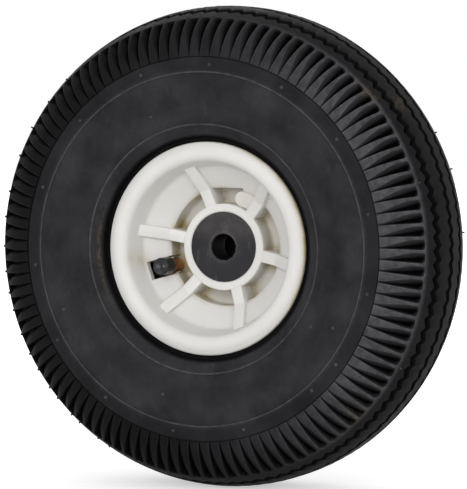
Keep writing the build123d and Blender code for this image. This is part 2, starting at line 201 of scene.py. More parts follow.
def rounded(corners: list[Corner]) -> np.ndarray:
    """A closed outline with its corners rounded.

    Args:
        corners: Radius, place along the axis and rounding of each corner, in millimetres.

    Returns:
        The outline's points.
    """
    outline = []
    count = len(corners)
    for i, (r, y, fillet) in enumerate(corners):
        here = np.array([r, y])
        before = np.array(corners[i - 1][:2]) - here
        after = np.array(corners[(i + 1) % count][:2]) - here
        long_in, long_out = np.linalg.norm(before), np.linalg.norm(after)
        before, after = before / long_in, after / long_out
        half = math.acos(float(np.clip(before @ after, -1, 1))) / 2
        reach = min(fillet / math.tan(half), 0.49 * long_in, 0.49 * long_out)
        if reach < 0.02:
            outline.append(here)
            continue
        radius = reach * math.tan(half)
        middle = here + (before + after) / np.linalg.norm(before + after) * radius / math.sin(half)
        first, last = here + before * reach - middle, here + after * reach - middle
        sweep = math.pi - 2 * half
        for share in np.arange(ROUND_STEPS + 1) / ROUND_STEPS:
            arm = (math.sin((1 - share) * sweep) * first + math.sin(share * sweep) * last) / math.sin(sweep)
            outline.append(middle + arm)
    return np.array(outline)


def filled(outline: np.ndarray, step: float) -> np.ndarray:
    """A closed outline with points added along its long sides.

    Args:
        outline: The outline's points.
        step: Longest side that is left.

    Returns:
        The outline with the added points.
    """
    runs = []
    for here, after in zip(outline, np.roll(outline, -1, axis=0)):
        count = max(1, math.ceil(float(np.linalg.norm(after - here)) / step))
        runs.append(here + (after - here) * np.arange(count)[:, None] / count)
    return np.concatenate(runs)


def smooth_line(points: list[Point], steps: int) -> np.ndarray:
    """A smooth line through points.

    Args:
        points: The points it goes through.
        steps: Pieces between one point and the next.

    Returns:
        Points along the line.
    """
    p = np.array([points[0], *points, points[-1]], float)
    t = np.arange(steps)[:, None] / steps
    runs = []
    for a, b, c, d in zip(p, p[1:], p[2:], p[3:]):
        straight = 2 * b + (c - a) * t
        runs.append(0.5 * (straight + (2 * a - 5 * b + 4 * c - d) * t**2 + (3 * b - a - 3 * c + d) * t**3))
    return np.concatenate([*runs, p[-1:]])


def lathe(outline: np.ndarray, segments: int, closed: bool = True) -> Grid:
    """Points and quads of an outline of radius and place along the axis, turned about the wheel's axis."""
    co = polar(outline[:, :1], outline[:, 1:2], circle(segments))
    return co, grid_faces(len(outline), segments, closed)


def stud(spot: np.ndarray, out: Vector, profile: tuple[Point, ...], sides: int = 10) -> Grid:
    """Points and quads of a small round stud.

    Args:
        spot: Middle of its foot, in metres.
        out: Direction that it points to.
        profile: Radius and height of each ring, in millimetres.
        sides: Flats round it.

    Returns:
        Points in metres, and quads.
    """
    out = out.normalized()
    side = out.orthogonal().normalized()
    turn = circle(sides)
    ring = np.outer(np.cos(turn), side) + np.outer(np.sin(turn), out.cross(side))
    co = np.array([spot + (radius * ring + height * np.array(out)) * MM for radius, height in profile])
    return co, grid_faces(len(profile), sides)


def rings_along(line: list[Corner]) -> np.ndarray:
    """Rings round a line in the plane through the wheel's axis.

    Args:
        line: Distance from the axis, place along it and radius of each ring, in millimetres.

    Returns:
        The rings' points, in metres.
    """
    spots = np.array([(r, y) for r, y, _ in line])
    along = np.gradient(spots, axis=0)
    along /= np.linalg.norm(along, axis=1)[:, None]
    turn = circle(TUBE_SIDES)
    rings = []
    for (r, y, radius), (dr, dy) in zip(line, along):
        side = radius * np.cos(turn)
        rings.append(np.stack([r + side * dy, y - side * dr, radius * np.sin(turn)], -1) * MM)
    return np.array(rings)


def turned(angle: float) -> Matrix:
    """Turn about the wheel's axis from +X to an angle towards +Z, in degrees."""
    return Matrix.Rotation(-math.radians(angle), 4, "Y")


def prism(
    outline: tuple[Point, ...] | list[Point], low: float, high: float, lie: Matrix, bevel: float = 0.0
) -> bpy.types.Mesh:
    """A straight prism, with its edges rounded if asked for.

    Args:
        outline: Its outline in X and Y, in millimetres.
        low: Its start along Z.
        high: Its end along Z.
        lie: Move from there to its place.
        bevel: Rounding of its edges, in millimetres.

    Returns:
        Its mesh.
    """
    form = bmesh.new()
    near, far = ([form.verts.new((x * MM, y * MM, z * MM)) for x, y in outline] for z in (low, high))
    form.faces.new(near)
    form.faces.new(list(reversed(far)))
    for i in range(len(outline)):
        form.faces.new([near[i - 1], far[i - 1], far[i], near[i]])
    bmesh.ops.recalc_face_normals(form, faces=form.faces)
    if bevel:
        edges = list(form.edges)
        bmesh.ops.bevel(form, geom=edges, offset=bevel * MM, segments=3, affect="EDGES", profile=0.5)
    form.transform(lie)
    return settled(form, "prism")


def coat(obj: bpy.types.Object, finish: bpy.types.Material) -> None:
    """Give a piece one finish."""
    obj.data.materials.clear()
    obj.data.materials.append(finish)


def take(
    obj: bpy.types.Object, body: Body, finish: bpy.types.Material, node: str
) -> bpy.types.Object:
    """Give a piece its finish, let it ride on a body and stand for a CAD node.

    Args:
        obj: The piece.
        body: Body that it rides on.
        finish: Its material.
        node: CAD node that it replaces.

    Returns:
        The piece.
    """
    coat(obj, finish)
    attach(obj, body.value)
    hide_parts(node)
    LOG.info("%s: %d faces on %s", obj.name, len(obj.data.polygons), body.value)
    return obj


def mark(mesh: bpy.types.Mesh, name: str, values: np.ndarray) -> None:
    """Store a value for each point of a mesh, for its finish to read."""
    attribute = mesh.attributes.new(name, "FLOAT", "POINT")
    attribute.data.foreach_set("value", values.astype(np.float32))


def places(obj: bpy.types.Object) -> tuple[np.ndarray, np.ndarray, np.ndarray]:
    """Places of a piece's points round the wheel's axis.

    Args:
        obj: The piece.

    Returns:
        Radius and place along the axis, in millimetres, and angle, in degrees.
    """
    co = np.zeros(len(obj.data.vertices) * 3)
    obj.data.vertices.foreach_get("co", co)
    co = co.reshape(-1, 3) / MM
    return np.hypot(co[:, 0], co[:, 2]), co[:, 1], np.degrees(np.arctan2(co[:, 2], co[:, 0]))


def ramp(values: np.ndarray, low: float, high: float) -> np.ndarray:
    """Values eased from 0 at low to 1 at high."""
    t = np.clip((values - low) / (high - low), 0, 1)
    return t * t * (3 - 2 * t)


def bell(values: np.ndarray, middle: float, width: float) -> np.ndarray:
    """A soft bump over values: 1 at its middle and about a third one width away."""
    return np.exp(-(((values - middle) / width) ** 2))


def aside_of(angles: np.ndarray, middle: float) -> np.ndarray:
    """Angles measured from a middle one, in degrees from -180 to 180."""
    return (angles - middle + 180) % 360 - 180


# Shader groups


def add(
    tree: bpy.types.NodeTree, kind: str, links: dict[str, object] | None = None, **options: object
) -> bpy.types.Node:
    """A node with its options set and its inputs linked or filled.

    Args:
        tree: Tree that it goes into.
        kind: Blender's name for the node.
        links: Input name or number to a socket or a value.
        options: Properties of the node.

    Returns:
        The node.
    """
    node = tree.nodes.new(kind)
    for name, value in options.items():
        setattr(node, name, value)
    for key, value in (links or {}).items():
        socket = node.inputs[int(key) if key.isdigit() else key]
        if isinstance(value, bpy.types.NodeSocket):
            tree.links.new(value, socket)
        else:
            socket.default_value = value
    return node


def spread(
    tree: bpy.types.NodeTree, value: object, low: float, high: float, to_low: object = 0.0, to_high: float = 1.0
) -> bpy.types.NodeSocket:
    """A value moved from one span to another, held at its ends."""
    links = {"Value": value, "From Min": low, "From Max": high, "To Min": to_low, "To Max": to_high}
    return add(tree, "ShaderNodeMapRange", links).outputs[0]


def maths(tree: bpy.types.NodeTree, operation: str, first: object, second: object) -> bpy.types.NodeSocket:
    """The result of a sum on two values."""
    return add(tree, "ShaderNodeMath", {"0": first, "1": second}, operation=operation).outputs[0]


def noise(
    tree: bpy.types.NodeTree, place: object, scale: object, detail: float, rough: float = 0.5
) -> bpy.types.NodeSocket:
    """Soft noise at a place."""
    links = {"Vector": place, "Scale": scale, "Detail": detail, "Roughness": rough}
    return add(tree, "ShaderNodeTexNoise", links).outputs[0]


def new_group(
    name: str, inputs: dict[str, float], outputs: tuple[str, ...]
) -> tuple[bpy.types.NodeTree, Sockets, Sockets]:
    """Start a shader node group that works at a place.

    Args:
        name: The group's name.
        inputs: Name and default of each input besides the place, which is called Vector.
        outputs: Name of each output.

    Returns:
        The group, the sockets that hold its inputs and those that take its outputs.
    """
    tree = bpy.data.node_groups.new(name, "ShaderNodeTree")
    tree.interface.new_socket(name="Vector", in_out="INPUT", socket_type="NodeSocketVector")
    for label, default in inputs.items():
        socket = tree.interface.new_socket(name=label, in_out="INPUT", socket_type="NodeSocketFloat")
        socket.default_value = default
    for label in outputs:
        tree.interface.new_socket(name=label, in_out="OUTPUT", socket_type="NodeSocketFloat")
    return tree, tree.nodes.new("NodeGroupInput").outputs, tree.nodes.new("NodeGroupOutput").inputs


def grain_group() -> bpy.types.NodeTree:
    """Fine moulded grain and broad mottling.

    Returns:
        A group that puts out the grain's height and the mottling.
    """
    scales = {"Grain scale": 1500.0, "Mottle scale": 40.0}
    tree, given, result = new_group("Moulded grain", scales, ("Height", "Mottle"))
    tree.links.new(noise(tree, given["Vector"], given["Grain scale"], detail=4.0), result["Height"])
    tree.links.new(noise(tree, given["Vector"], given["Mottle scale"], detail=5.0), result["Mottle"])
    return tree


def patchy_group() -> bpy.types.NodeTree:
    """A mask broken up into patches, for dirt and also for painted shade, sheen and highlights.

    Returns:
        A group that puts out the patchy share.
    """
    tree, given, result = new_group("Patchy mask", {"Mask": 0.0, "Patch scale": 120.0, "Least": 0.35}, ("Share",))
    patch = noise(tree, given["Vector"], given["Patch scale"], detail=6.0)
    broken = spread(tree, patch, 0.36, 0.64, given["Least"])
    tree.links.new(maths(tree, "MULTIPLY", given["Mask"], broken), result["Share"])
    return tree


def scuff_group() -> bpy.types.NodeTree:
    """Thin scratches and rubbed patches.

    Returns:
        A group that puts out the scuffs' share.
    """
    tree, given, result = new_group("Scuffs", {"Scale": 300.0, "Amount": 1.0}, ("Share",))
    stretch = {"Vector": given["Vector"], "Rotation": (0.4, 0.2, 0.7), "Scale": (1.0, 0.55, 0.4)}
    place = add(tree, "ShaderNodeMapping", stretch).outputs[0]
    rubbed = spread(tree, noise(tree, place, given["Scale"], detail=8.0, rough=0.7), 0.56, 0.72)
    tree.links.new(maths(tree, "MULTIPLY", rubbed, given["Amount"]), result["Share"])
    return tree


class Groups:
    """The shader groups, built once and shared by the finishes."""

    def __init__(self) -> None:
        """Build each group."""
        self.grain = grain_group()
        self.patchy = patchy_group()
        self.scuffs = scuff_group()


# Finishes


class Paint:
    """A material under way: its tree, its coordinates and its shader."""

    def __init__(self, name: str) -> None:
        """Start a material.

        Args:
            name: The material's name.
        """
        self.material = bpy.data.materials.new(name)
        self.material.use_nodes = True
        self.tree = self.material.node_tree
        self.shader = self.tree.nodes["Principled BSDF"]
        self.place = add(self.tree, "ShaderNodeTexCoord").outputs["Object"]

    def group(self, tree: bpy.types.NodeTree, **links: object) -> Sockets:
        """The outputs of a shared group, with its inputs given by name, with _ for a space."""
        named = {name.replace("_", " "): value for name, value in links.items()}
        return add(self.tree, "ShaderNodeGroup", {"Vector": self.place, **named}, node_tree=tree).outputs

    def marked(self, name: str) -> bpy.types.NodeSocket:
        """The value stored under a name on the piece's points."""
        return add(self.tree, "ShaderNodeAttribute", attribute_name=name).outputs["Fac"]

    def wire(self, name: str, socket: bpy.types.NodeSocket) -> None:
        """Link a socket to one of the shader's inputs."""
        self.tree.links.new(socket, self.shader.inputs[name])

    def colour(self, base: Colour, *layers: tuple[bpy.types.NodeSocket, Colour]) -> None:
        """Lay colours over one another.

        Args:
            base: The lowest colour.
            layers: Share and colour of each layer on it, from the lowest up.
        """
        under = (*base, 1)
        for share, over in layers:
            links = {"0": share, "6": under, "7": (*over, 1)}
            under = add(self.tree, "ShaderNodeMix", links, data_type="RGBA").outputs[2]
        self.wire("Base Color", under)

    def roughen(self, mottle: bpy.types.NodeSocket, rough: Point) -> None:
        """Vary the roughness with the mottling, from its lowest to its highest value."""
        self.wire("Roughness", spread(self.tree, mottle, 0.3, 0.7, *rough))

    def bump(self, height: bpy.types.NodeSocket, strength: float, distance: float) -> None:
        """Let a height, of which 1 stands for a distance in metres, roughen the surface."""
        links = {"Height": height, "Strength": strength, "Distance": distance}
        self.wire("Normal", add(self.tree, "ShaderNodeBump", links).outputs[0])


@dataclass(frozen=True)
class RubberFinish:
    """Rubber, dusty and rubbed, with painted shade, sheen and highlights where it is marked.

    Attributes:
        name: The finish's name.
        base: Colour of the clean rubber.
        worn: Colour of its duller patches.
        dust_and_sheen: Colour of the dust on it, and of the painted sheen by the bead.
        rubbed: Colour of its scuffs and rubbed ridges, and of its painted sheen and painted highlights.
        rough: Lowest and highest roughness.
        painted_shade_colour: Colour of the painted shade deep in its grooves, over the tread and in the bead's
            recess.
        gloss: Level of its reflections.
    """

    name: str
    base: Colour
    worn: Colour
    dust_and_sheen: Colour
    rubbed: Colour
    rough: Point
    painted_shade_colour: Colour = (0.0015, 0.0015, 0.0016)
    gloss: float = 0.03

    def make(self, groups: Groups) -> bpy.types.Material:
        """Build the material.

        Args:
            groups: Shared shader groups.

        Returns:
            The material.
        """
        paint = Paint(self.name)
        grain = paint.group(groups.grain, Grain_scale=1400.0, Mottle_scale=55.0)
        # Dust, and a painted sheen by the bead.
        dust_and_sheen = paint.group(groups.patchy, Mask=paint.marked("dust_and_sheen"), Patch_scale=420.0, Least=0.0)
        # Rubbed ridges, with a painted sheen on the right-hand fins and painted highlights on fin edges and
        # raised lines.
        rub_and_sheen = paint.group(groups.patchy, Mask=paint.marked("rub_and_sheen"), Patch_scale=300.0, Least=0.4)
        scuffs = paint.group(groups.scuffs, Scale=140.0, Amount=0.12)
        paint.colour(
            self.base,
            (spread(paint.tree, grain["Mottle"], 0.35, 0.65), self.worn),
            (scuffs["Share"], self.rubbed),
            (rub_and_sheen["Share"], self.rubbed),
            (dust_and_sheen["Share"], self.dust_and_sheen),
            # Painted shade: near-black in grooves and fin gaps, over the tread, on the left-hand fins and in
            # the bead's recess.
            (paint.marked("painted_shade"), self.painted_shade_colour),
        )
        paint.roughen(grain["Mottle"], self.rough)
        uneven = maths(paint.tree, "MULTIPLY", grain["Mottle"], 3.0)
        paint.bump(maths(paint.tree, "ADD", grain["Height"], uneven), strength=0.5, distance=0.00014)
        paint.shader.inputs["Specular IOR Level"].default_value = self.gloss
        return paint.material


@dataclass(frozen=True)
class MouldedFinish:
    """Moulded plastic, stained and lightly scuffed, with painted shade, sheen and reflections where it is
    marked.

    Attributes:
        name: The finish's name.
        base: Colour of the plastic.
        mottle: Colour of its duller patches.
        stain_and_painted_light: Colour of the stains on it, also used for painted shade, sheen and reflections.
        scuff: Colour of its scuffs.
        scuffed: Share of scuffs.
        rough: Lowest and highest roughness.
        gloss: Level of its reflections.
        painted_shade_colour: Colour of the painted shade deep in its bore.
    """

    name: str
    base: Colour
    mottle: Colour
    stain_and_painted_light: Colour
    scuff: Colour
    scuffed: float
    rough: Point
    gloss: float
    painted_shade_colour: Colour = (0.002, 0.002, 0.002)

    def make(self, groups: Groups) -> bpy.types.Material:
        """Build the material.

        Args:
            groups: Shared shader groups.

        Returns:
            The material.
        """
        paint = Paint(self.name)
        grain = paint.group(groups.grain, Grain_scale=1100.0, Mottle_scale=30.0)
        # Stains, with painted shade on the rim, a painted sheen on the bush's face and painted reflections on
        # the cap.
        stain_and_painted_light = paint.group(groups.patchy, Mask=paint.marked("stain_and_painted_light"), Patch_scale=90.0, Least=0.45)
        scuffs = paint.group(groups.scuffs, Scale=260.0, Amount=self.scuffed)
        paint.colour(
            self.base,
            (spread(paint.tree, grain["Mottle"], 0.3, 0.7), self.mottle),
            (scuffs["Share"], self.scuff),
            (stain_and_painted_light["Share"], self.stain_and_painted_light),
            # Painted shade deep in the bush's bore.
            (paint.marked("painted_shade"), self.painted_shade_colour),
        )
        paint.roughen(grain["Mottle"], self.rough)
        paint.bump(grain["Height"], strength=0.2, distance=0.00008)
        paint.shader.inputs["Specular IOR Level"].default_value = self.gloss
        return paint.material


@dataclass(frozen=True)
class MetalFinish:
    """Metal, tarnished in patches.

    Attributes:
        name: The finish's name.
        base: Colour of the bright metal.
        tarnish: Colour of the tarnish.
        rough: Lowest and highest roughness.
    """

    name: str
    base: Colour
    tarnish: Colour
    rough: Point

    def make(self, groups: Groups) -> bpy.types.Material:
        """Build the material.

        Args:
            groups: Shared shader groups.

        Returns:
            The material.
        """
        paint = Paint(self.name)
        grain = paint.group(groups.grain, Grain_scale=2500.0, Mottle_scale=260.0)
        scuffs = paint.group(groups.scuffs, Scale=900.0, Amount=0.6)
        patches = spread(paint.tree, grain["Mottle"], 0.36, 0.62)
        paint.colour(self.base, (patches, self.tarnish), (scuffs["Share"], self.base))
        paint.roughen(grain["Mottle"], self.rough)
        paint.bump(grain["Height"], strength=0.25, distance=0.00004)
        paint.shader.inputs["Metallic"].default_value = 1.0
        return paint.material


# The wheel's pieces


@dataclass
class Rows:
    """Rows of points over one pitch of the tread.

    Attributes:
        share: Place in the pitch, as a share of it.
        radius: Distance from the axis.
        y: Place along the axis.
        drop: Depth below the face of the tread or the fin.
    """

    share: np.ndarray
    radius: np.ndarray
    y: np.ndarray
    drop: np.ndarray


@dataclass
class Tyre:
    """Tyre with a sawtooth tread, tapered shoulder fins and a smooth sidewall, in millimetres.

    Attributes:
        pitches: Fins round the tyre.
        top: Largest radius of the tread.
        peak: Radius that the tread's rounding would reach at its middle.
        crown: Radius of the tread's rounding across its width.
        tread_half: Half width of the tread, out to the shoulder's edge.
        shoulder: Shoulder's edge, as radius and distance from the middle.
        bulge: Point that the fins swell out to.
        foot: Foot of the fins.
        grooves: Places of the sawtooth grooves.
        groove_half: Half width of a groove at its mouth.
        groove_floor: Half width of its floor.
        groove_depth: Its depth.
        swing: Side swing of the sawtooth.
        split: Share of a pitch at which the sawtooth turns.
        rib_half: Half width of a rib between two grooves.
        apron: Strip between the ribs and the shoulder's edge.
        gap_foot: Half width of a fin gap at the fins' foot.
        gap_half: Half width of a fin gap near the shoulder.
        gap_depth: Depth of a fin gap near the shoulder.
        gap_shallow: Its depth at the fins' foot.
        gap_lean: Lean of its depth at the foot and the shoulder, in degrees.
        gap_past: How far the gap's round end cuts into the tread's edge.
        slope_reach: Share of a fin that its gentle slope takes up near the shoulder.
        brow: Strip of a fin's face beside the gap's steep wall.
        edge: Rounding of the edges.
        bead: Edge that faces the rim's lip.
        wall: Sidewall from the bead's edge to the fins' foot.
        foot_groove: Thin groove at the fins' foot.
        rings: Radius, height and half width of the raised lines on the sidewall.
        inside: Inside of the tyre, from the rim to the crown.
        pips: Radius and angle, in degrees, of the vent pips on the sidewalls.
        whiskers: Place along the axis and angle, in degrees, of the vent whiskers on the tread.
        nibs: Angles, in degrees, of the short trimmed whiskers on the front shoulder.
        pip: Radius and height of each ring of a pip.
        whisker: Those of a whisker.
        nib: Those of a trimmed whisker.
        nib_row: Place of the trimmed whiskers along the axis, and the step by which some stand further out.
        patches: Angle, place along the axis, spread of both and strength of each dust patch.
    """

    pitches: int = 110
    top: float = 131.68
    peak: float = 132.0
    crown: float = 58.0
    tread_half: float = 29.2
    shoulder: Point = (124.1, 29.2)
    bulge: Point = (115.28, 37.25)
    foot: Point = (103.8, 40.75)
    grooves: tuple[float, ...] = (-19.8, -6.6, 6.6, 19.8)
    groove_half: float = 1.9
    groove_floor: float = 0.8
    groove_depth: float = 3.2
    swing: float = 1.2
    split: float = 0.62
    rib_half: float = 6.6
    apron: float = 3.4
    gap_foot: float = 0.28
    gap_half: float = 1.85
    gap_depth: float = 4.3
    gap_shallow: float = 0.45
    gap_lean: Point = (70.0, 42.0)
    gap_past: float = 0.9
    slope_reach: float = 0.76
    brow: float = 0.4
    edge: float = 0.3
    bead: tuple[Point, ...] = ((57.9, 29.3), (60.3, 29.35), (60.6, 29.7), (60.65, 32.4))
    wall: tuple[Point, ...] = (
        (61.1, 33.2), (63.6, 35.0), (67.2, 37.0), (73.0, 39.5), (80.0, 41.35), (86.0, 41.95), (92.0, 41.85),
        (98.0, 41.3), (103.1, 40.55),
    )
    foot_groove: tuple[Point, ...] = ((103.2, 40.1), (103.55, 39.8), (104.4, 39.6))
    rings: tuple[Corner, ...] = ((63.9, 0.12, 0.4), (67.2, 0.34, 0.6), (95.3, 0.42, 0.5))
    inside: tuple[Point, ...] = (
        (50.95, 27.4), (50.95, 16.2), (66.0, 32.5), (86.0, 37.7), (112.4, 31.4), (121.0, 15.9),
    )
    pips: tuple[Point, ...] = (
        (99.4, 36.7), (99.4, 11.8), (99.2, -12.5), (98.9, -36.6), (98.4, -48.1), (99.3, 61.0), (99.2, 86.4),
        (99.4, 110.2), (99.1, 135.8), (99.3, 160.9), (99.2, 186.0), (99.4, 211.1), (99.0, 235.7), (99.3, 261.2),
        (99.3, 285.4), (76.2, -31.4), (87.5, -27.0), (77.0, 112.0), (88.0, 203.0), (81.5, 255.0),
    )
    whiskers: tuple[Point, ...] = (
        (22.1, 29.3), (23.0, 19.7), (23.5, 4.0), (22.0, 71.0), (20.5, 118.0), (21.0, 206.0), (-26.5, 96.0),
        (-26.2, 149.0), (-26.6, 258.0), (-26.3, 331.0), (22.4, 301.0), (-26.4, 17.0),
    )
    nibs: tuple[float, ...] = (
        121.0, 133.5, 141.0, 157.0, 166.5, 173.0, 180.5, 187.0, 192.5, 197.0, 203.5, 209.0, 213.5, 219.0, 222.5,
        228.0, 231.0, 237.5, 241.0, 249.0,
    )
    pip: tuple[Point, ...] = ((1.0, -0.3), (0.95, 0.1), (0.6, 0.2), (0.05, 0.22))
    whisker: tuple[Point, ...] = ((0.5, -0.4), (0.45, 0.6), (0.35, 1.2), (0.02, 1.5))
    nib: tuple[Point, ...] = ((0.75, -0.4), (0.65, 0.4), (0.4, 0.8), (0.02, 0.9))
    nib_row: Point = (-25.2, 0.5)
    patches: tuple[tuple[float, float, float, float, float], ...] = (
        (37.0, -13.5, 2.6, 4.0, 1.0), (42.0, -27.5, 3.6, 3.0, 0.5), (-45.0, -31.0, 2.2, 2.6, 0.6),
        (150.0, 14.0, 5.0, 7.0, 0.4),
    )

    def crown_at(self, y: np.ndarray) -> np.ndarray:
        """Radius of the tread at distances from the middle."""
        return np.minimum(self.peak - self.crown + np.sqrt(self.crown**2 - np.square(y)), self.top)

    def land(self, t: np.ndarray) -> np.ndarray:
        """Points on a fin's face.

        Args:
            t: Shares of the way from its foot to the shoulder's edge.

        Returns:
            Radius and distance from the middle of each point.
        """
        foot, bulge, shoulder = (np.array(p) for p in (self.foot, self.bulge, self.shoulder))
        middle = 2 * bulge - (foot + shoulder) / 2
        t = np.asarray(t, float)[:, None]
        return (1 - t) ** 2 * foot + 2 * t * (1 - t) * middle + t**2 * shoulder

    def fin_rows(self) -> Rows:
        """Rows over one fin, from its foot to just past the shoulder's edge.

        Returns:
            The rows, with a steep wall on one side of the gap and a gentle slope on the other.
        """
        length = float(np.linalg.norm(np.diff(self.land(np.linspace(0, 1, 40)), axis=0), axis=1).sum())
        round_from = length + self.gap_past - self.gap_half
        along = np.array([0.0, 0.5, 1.6, 3.5, 6.0, 9.0, 12.0, 15.0, 18.0, 20.5])
        end_steps = round_from + self.gap_half * np.array([0.0, 0.4, 0.65, 0.84, 0.95, 1.0])
        along = np.sort(np.concatenate([along[along < round_from - 0.5], end_steps, [length - 0.01]]))
        past = np.clip(along - length, 0, None)
        tread_y = self.tread_half - past
        on_tread = np.stack([self.crown_at(tread_y), tread_y], -1)
        share = np.clip(along / length, 0, 1)
        line = np.where(past[:, None] > 0, on_tread, self.land(share))
        half = self.gap_foot + (self.gap_half - self.gap_foot) * share**1.25
        end = np.sqrt(np.clip(1 - np.clip((along - round_from) / self.gap_half, 0, 1) ** 2, 0, 1))
        half *= end
        depth = self.gap_shallow + (self.gap_depth - self.gap_shallow) * np.clip(share * 1.12, 0, 1) ** 0.9
        depth[-1] = 0.0
        lean = np.radians(self.gap_lean[0] + (self.gap_lean[1] - self.gap_lean[0]) * share)
        inward = -np.stack([np.cos(lean), np.sin(lean)], -1)
        arc = 2 * math.pi / self.pitches * line[:, 0]
        lip = np.minimum(self.edge, depth)
        brow = -half - self.edge
        land_end = self.slope_reach * (arc + brow - self.brow)
        least = 1.3 * half
        facet = least + end * np.clip((share - 0.1) / 0.65, 0, 1) ** 1.2 * np.clip(land_end - least, 0, None)
        flat = 0 * depth
        floor_across = [share_of_half * half for share_of_half in (-0.55, -0.1, 0.45)]
        floor_drop = [share_of_depth * depth for share_of_depth in (1.0, 0.98, 0.6, 0.38)]
        across = [brow - self.brow, brow, -half, *floor_across, half, facet, facet + 0.25]
        drop = np.stack([flat, 0.15 * lip, lip, *floor_drop, 0.7 * lip, flat], -1)
        spots = line[:, None, :] + drop[..., None] * inward[:, None, :]
        return Rows(np.stack(across, -1) / arc[:, None], spots[..., 0], spots[..., 1], drop)

    def tread_rows(self) -> Rows:
        """Rows over one pitch of the ribs and grooves, from the front to the rear.

        Returns:
            The rows.
        """
        shares = np.concatenate([np.linspace(self.split - 1, 0, 5), np.linspace(0, self.split, 6)[1:5]])
        saw = np.interp(shares, [self.split - 1, 0, self.split], [-1, 1, -1]) * self.swing
        margin = self.tread_half - self.apron
        rows: list[Point] = [(-margin, 0.0)]
        outer, inner = self.groove_half, self.groove_floor
        for place in self.grooves:
            rows += [
                (place - outer - self.edge, 0.0), (place - outer, self.edge),
                (place - inner, self.groove_depth), (place + inner, self.groove_depth),
                (place + outer, self.edge), (place + outer + self.edge, 0.0), (place + self.rib_half, 0.0),
            ]
        y = np.array([row[0] for row in rows])[:, None] + saw
        y[0], y[-1] = -margin, margin
        drop = np.array([row[1] for row in rows])[:, None] + 0 * y
        return Rows(shares + 0 * y, self.crown_at(y) - drop, y, drop)

    def side_wall(self) -> np.ndarray:
        """Half section of the sidewall, with its raised lines and the thin groove at the fins' foot.

        Returns:
            Radius and distance from the middle of each point.
        """
        line = smooth_line(list(self.wall), 5)
        for radius, height, half in self.rings:
            extra = radius + half * np.array([-1.4, -1.0, -0.5, 0.0, 0.5, 1.0, 1.4])
            line = np.concatenate([line, np.stack([extra, np.interp(extra, line[:, 0], line[:, 1])], -1)])
            line = line[np.argsort(line[:, 0])]
            offset = np.abs(line[:, 0] - radius) / half
            line[:, 1] += np.where(offset < 1, height * (1 - offset**2), 0)
            line[:, 1] -= np.where(np.abs(offset - 1.4) < 0.1, 0.12, 0)
        keep = np.concatenate([[True], np.diff(line[:, 0]) > 0.15])
        return np.concatenate([self.bead, line[keep], self.foot_groove])

    def studs(self) -> list[Grid]:
        """Vent pips on both sidewalls and vent whiskers on the tread.

        Returns:
            Points and quads of each.
        """
        wall = np.array(self.wall)
        parts = []
        for side in Side:
            for radius, angle in self.pips:
                y = float(np.interp(radius, wall[:, 0], wall[:, 1])) * side.value
                parts.append(stud(polar(radius, y, math.radians(angle)), Vector((0, side.value, 0)), self.pip))
        spikes = [(y, angle, self.whisker, 10) for y, angle in self.whiskers]
        row, step = self.nib_row
        spikes += [(row - step * (k % 3), angle, self.nib, 8) for k, angle in enumerate(self.nibs)]
        for y, angle, profile, sides in spikes:
            turn = math.radians(angle)
            out = Vector(polar(math.sqrt(self.crown**2 - y**2), y, turn))
            parts.append(stud(polar(self.crown_at(y), y, turn), out, profile, sides))
        return parts

    def around(self, rows: np.ndarray) -> np.ndarray:
        """Values over one pitch, repeated round the tyre."""
        return np.tile(rows, self.pitches)

    def cover_marks(self, y: np.ndarray, drop: np.ndarray, turn: np.ndarray) -> Grid:
        """Shares of painted shade, and of rubbed rubber with painted sheen and highlights, on the tread and the
        fins.

        Args:
            y: Places along the axis over one pitch.
            drop: Depths over one pitch.
            turn: Angles of all points, in radians.

        Returns:
            Both shares, one number a point.
        """
        on_fin = ramp(np.abs(y), 26.0, 28.5)
        # Painted shade: darker with depth in grooves and fin gaps, and over the whole tread.
        deep = drop / np.where(on_fin > 0, 1.9, 0.9) + 0.6 * (1 - on_fin)
        # Painted highlight along each fin gap's steep edge.
        edges = np.where(np.arange(drop.shape[1]) == 1, 0.5, 0.0) * on_fin
        side = np.cos(turn - 0.1)
        # Painted shade on the fins that face left, and a painted sheen on the fin faces that face right.
        painted_shade = self.around(deep) + 0.75 * self.around(on_fin) * ramp(-side, -0.8, 0.5)
        rub_and_sheen = self.around(edges) + 0.65 * self.around(on_fin * (drop < 0.05)) * ramp(side, 0.1, 0.95)
        return painted_shade.ravel(), rub_and_sheen.ravel()

    def build(self, finish: bpy.types.Material) -> bpy.types.Object:
        """Make the tyre.

        Args:
            finish: Rubber material.

        Returns:
            The tyre, which replaces its CAD node.
        """
        fin, tread = self.fin_rows(), self.tread_rows()
        pairs = ((fin.share, tread.share), (fin.radius, tread.radius), (fin.drop, tread.drop))
        share, radius, drop = (np.concatenate([side, middle, side[::-1]]) for side, middle in pairs)
        y = np.concatenate([-fin.y, tread.y, fin.y[::-1]])
        pitch = 2 * math.pi / self.pitches
        start = (np.arange(self.pitches) + 0.5) * pitch
        turn = (start[None, :, None] + share[:, None, :] * pitch).reshape(len(share), -1)
        cover = polar(self.around(radius), self.around(y), turn)
        half = np.concatenate([self.side_wall()[::-1], self.inside])
        section = np.concatenate([half * np.array([1, -1]), half[::-1]])
        flats = 2 * self.pitches
        plain = [lathe(section, flats, closed=False), *self.studs()]
        painted_shade, rub_and_sheen = self.cover_marks(y, drop, turn)
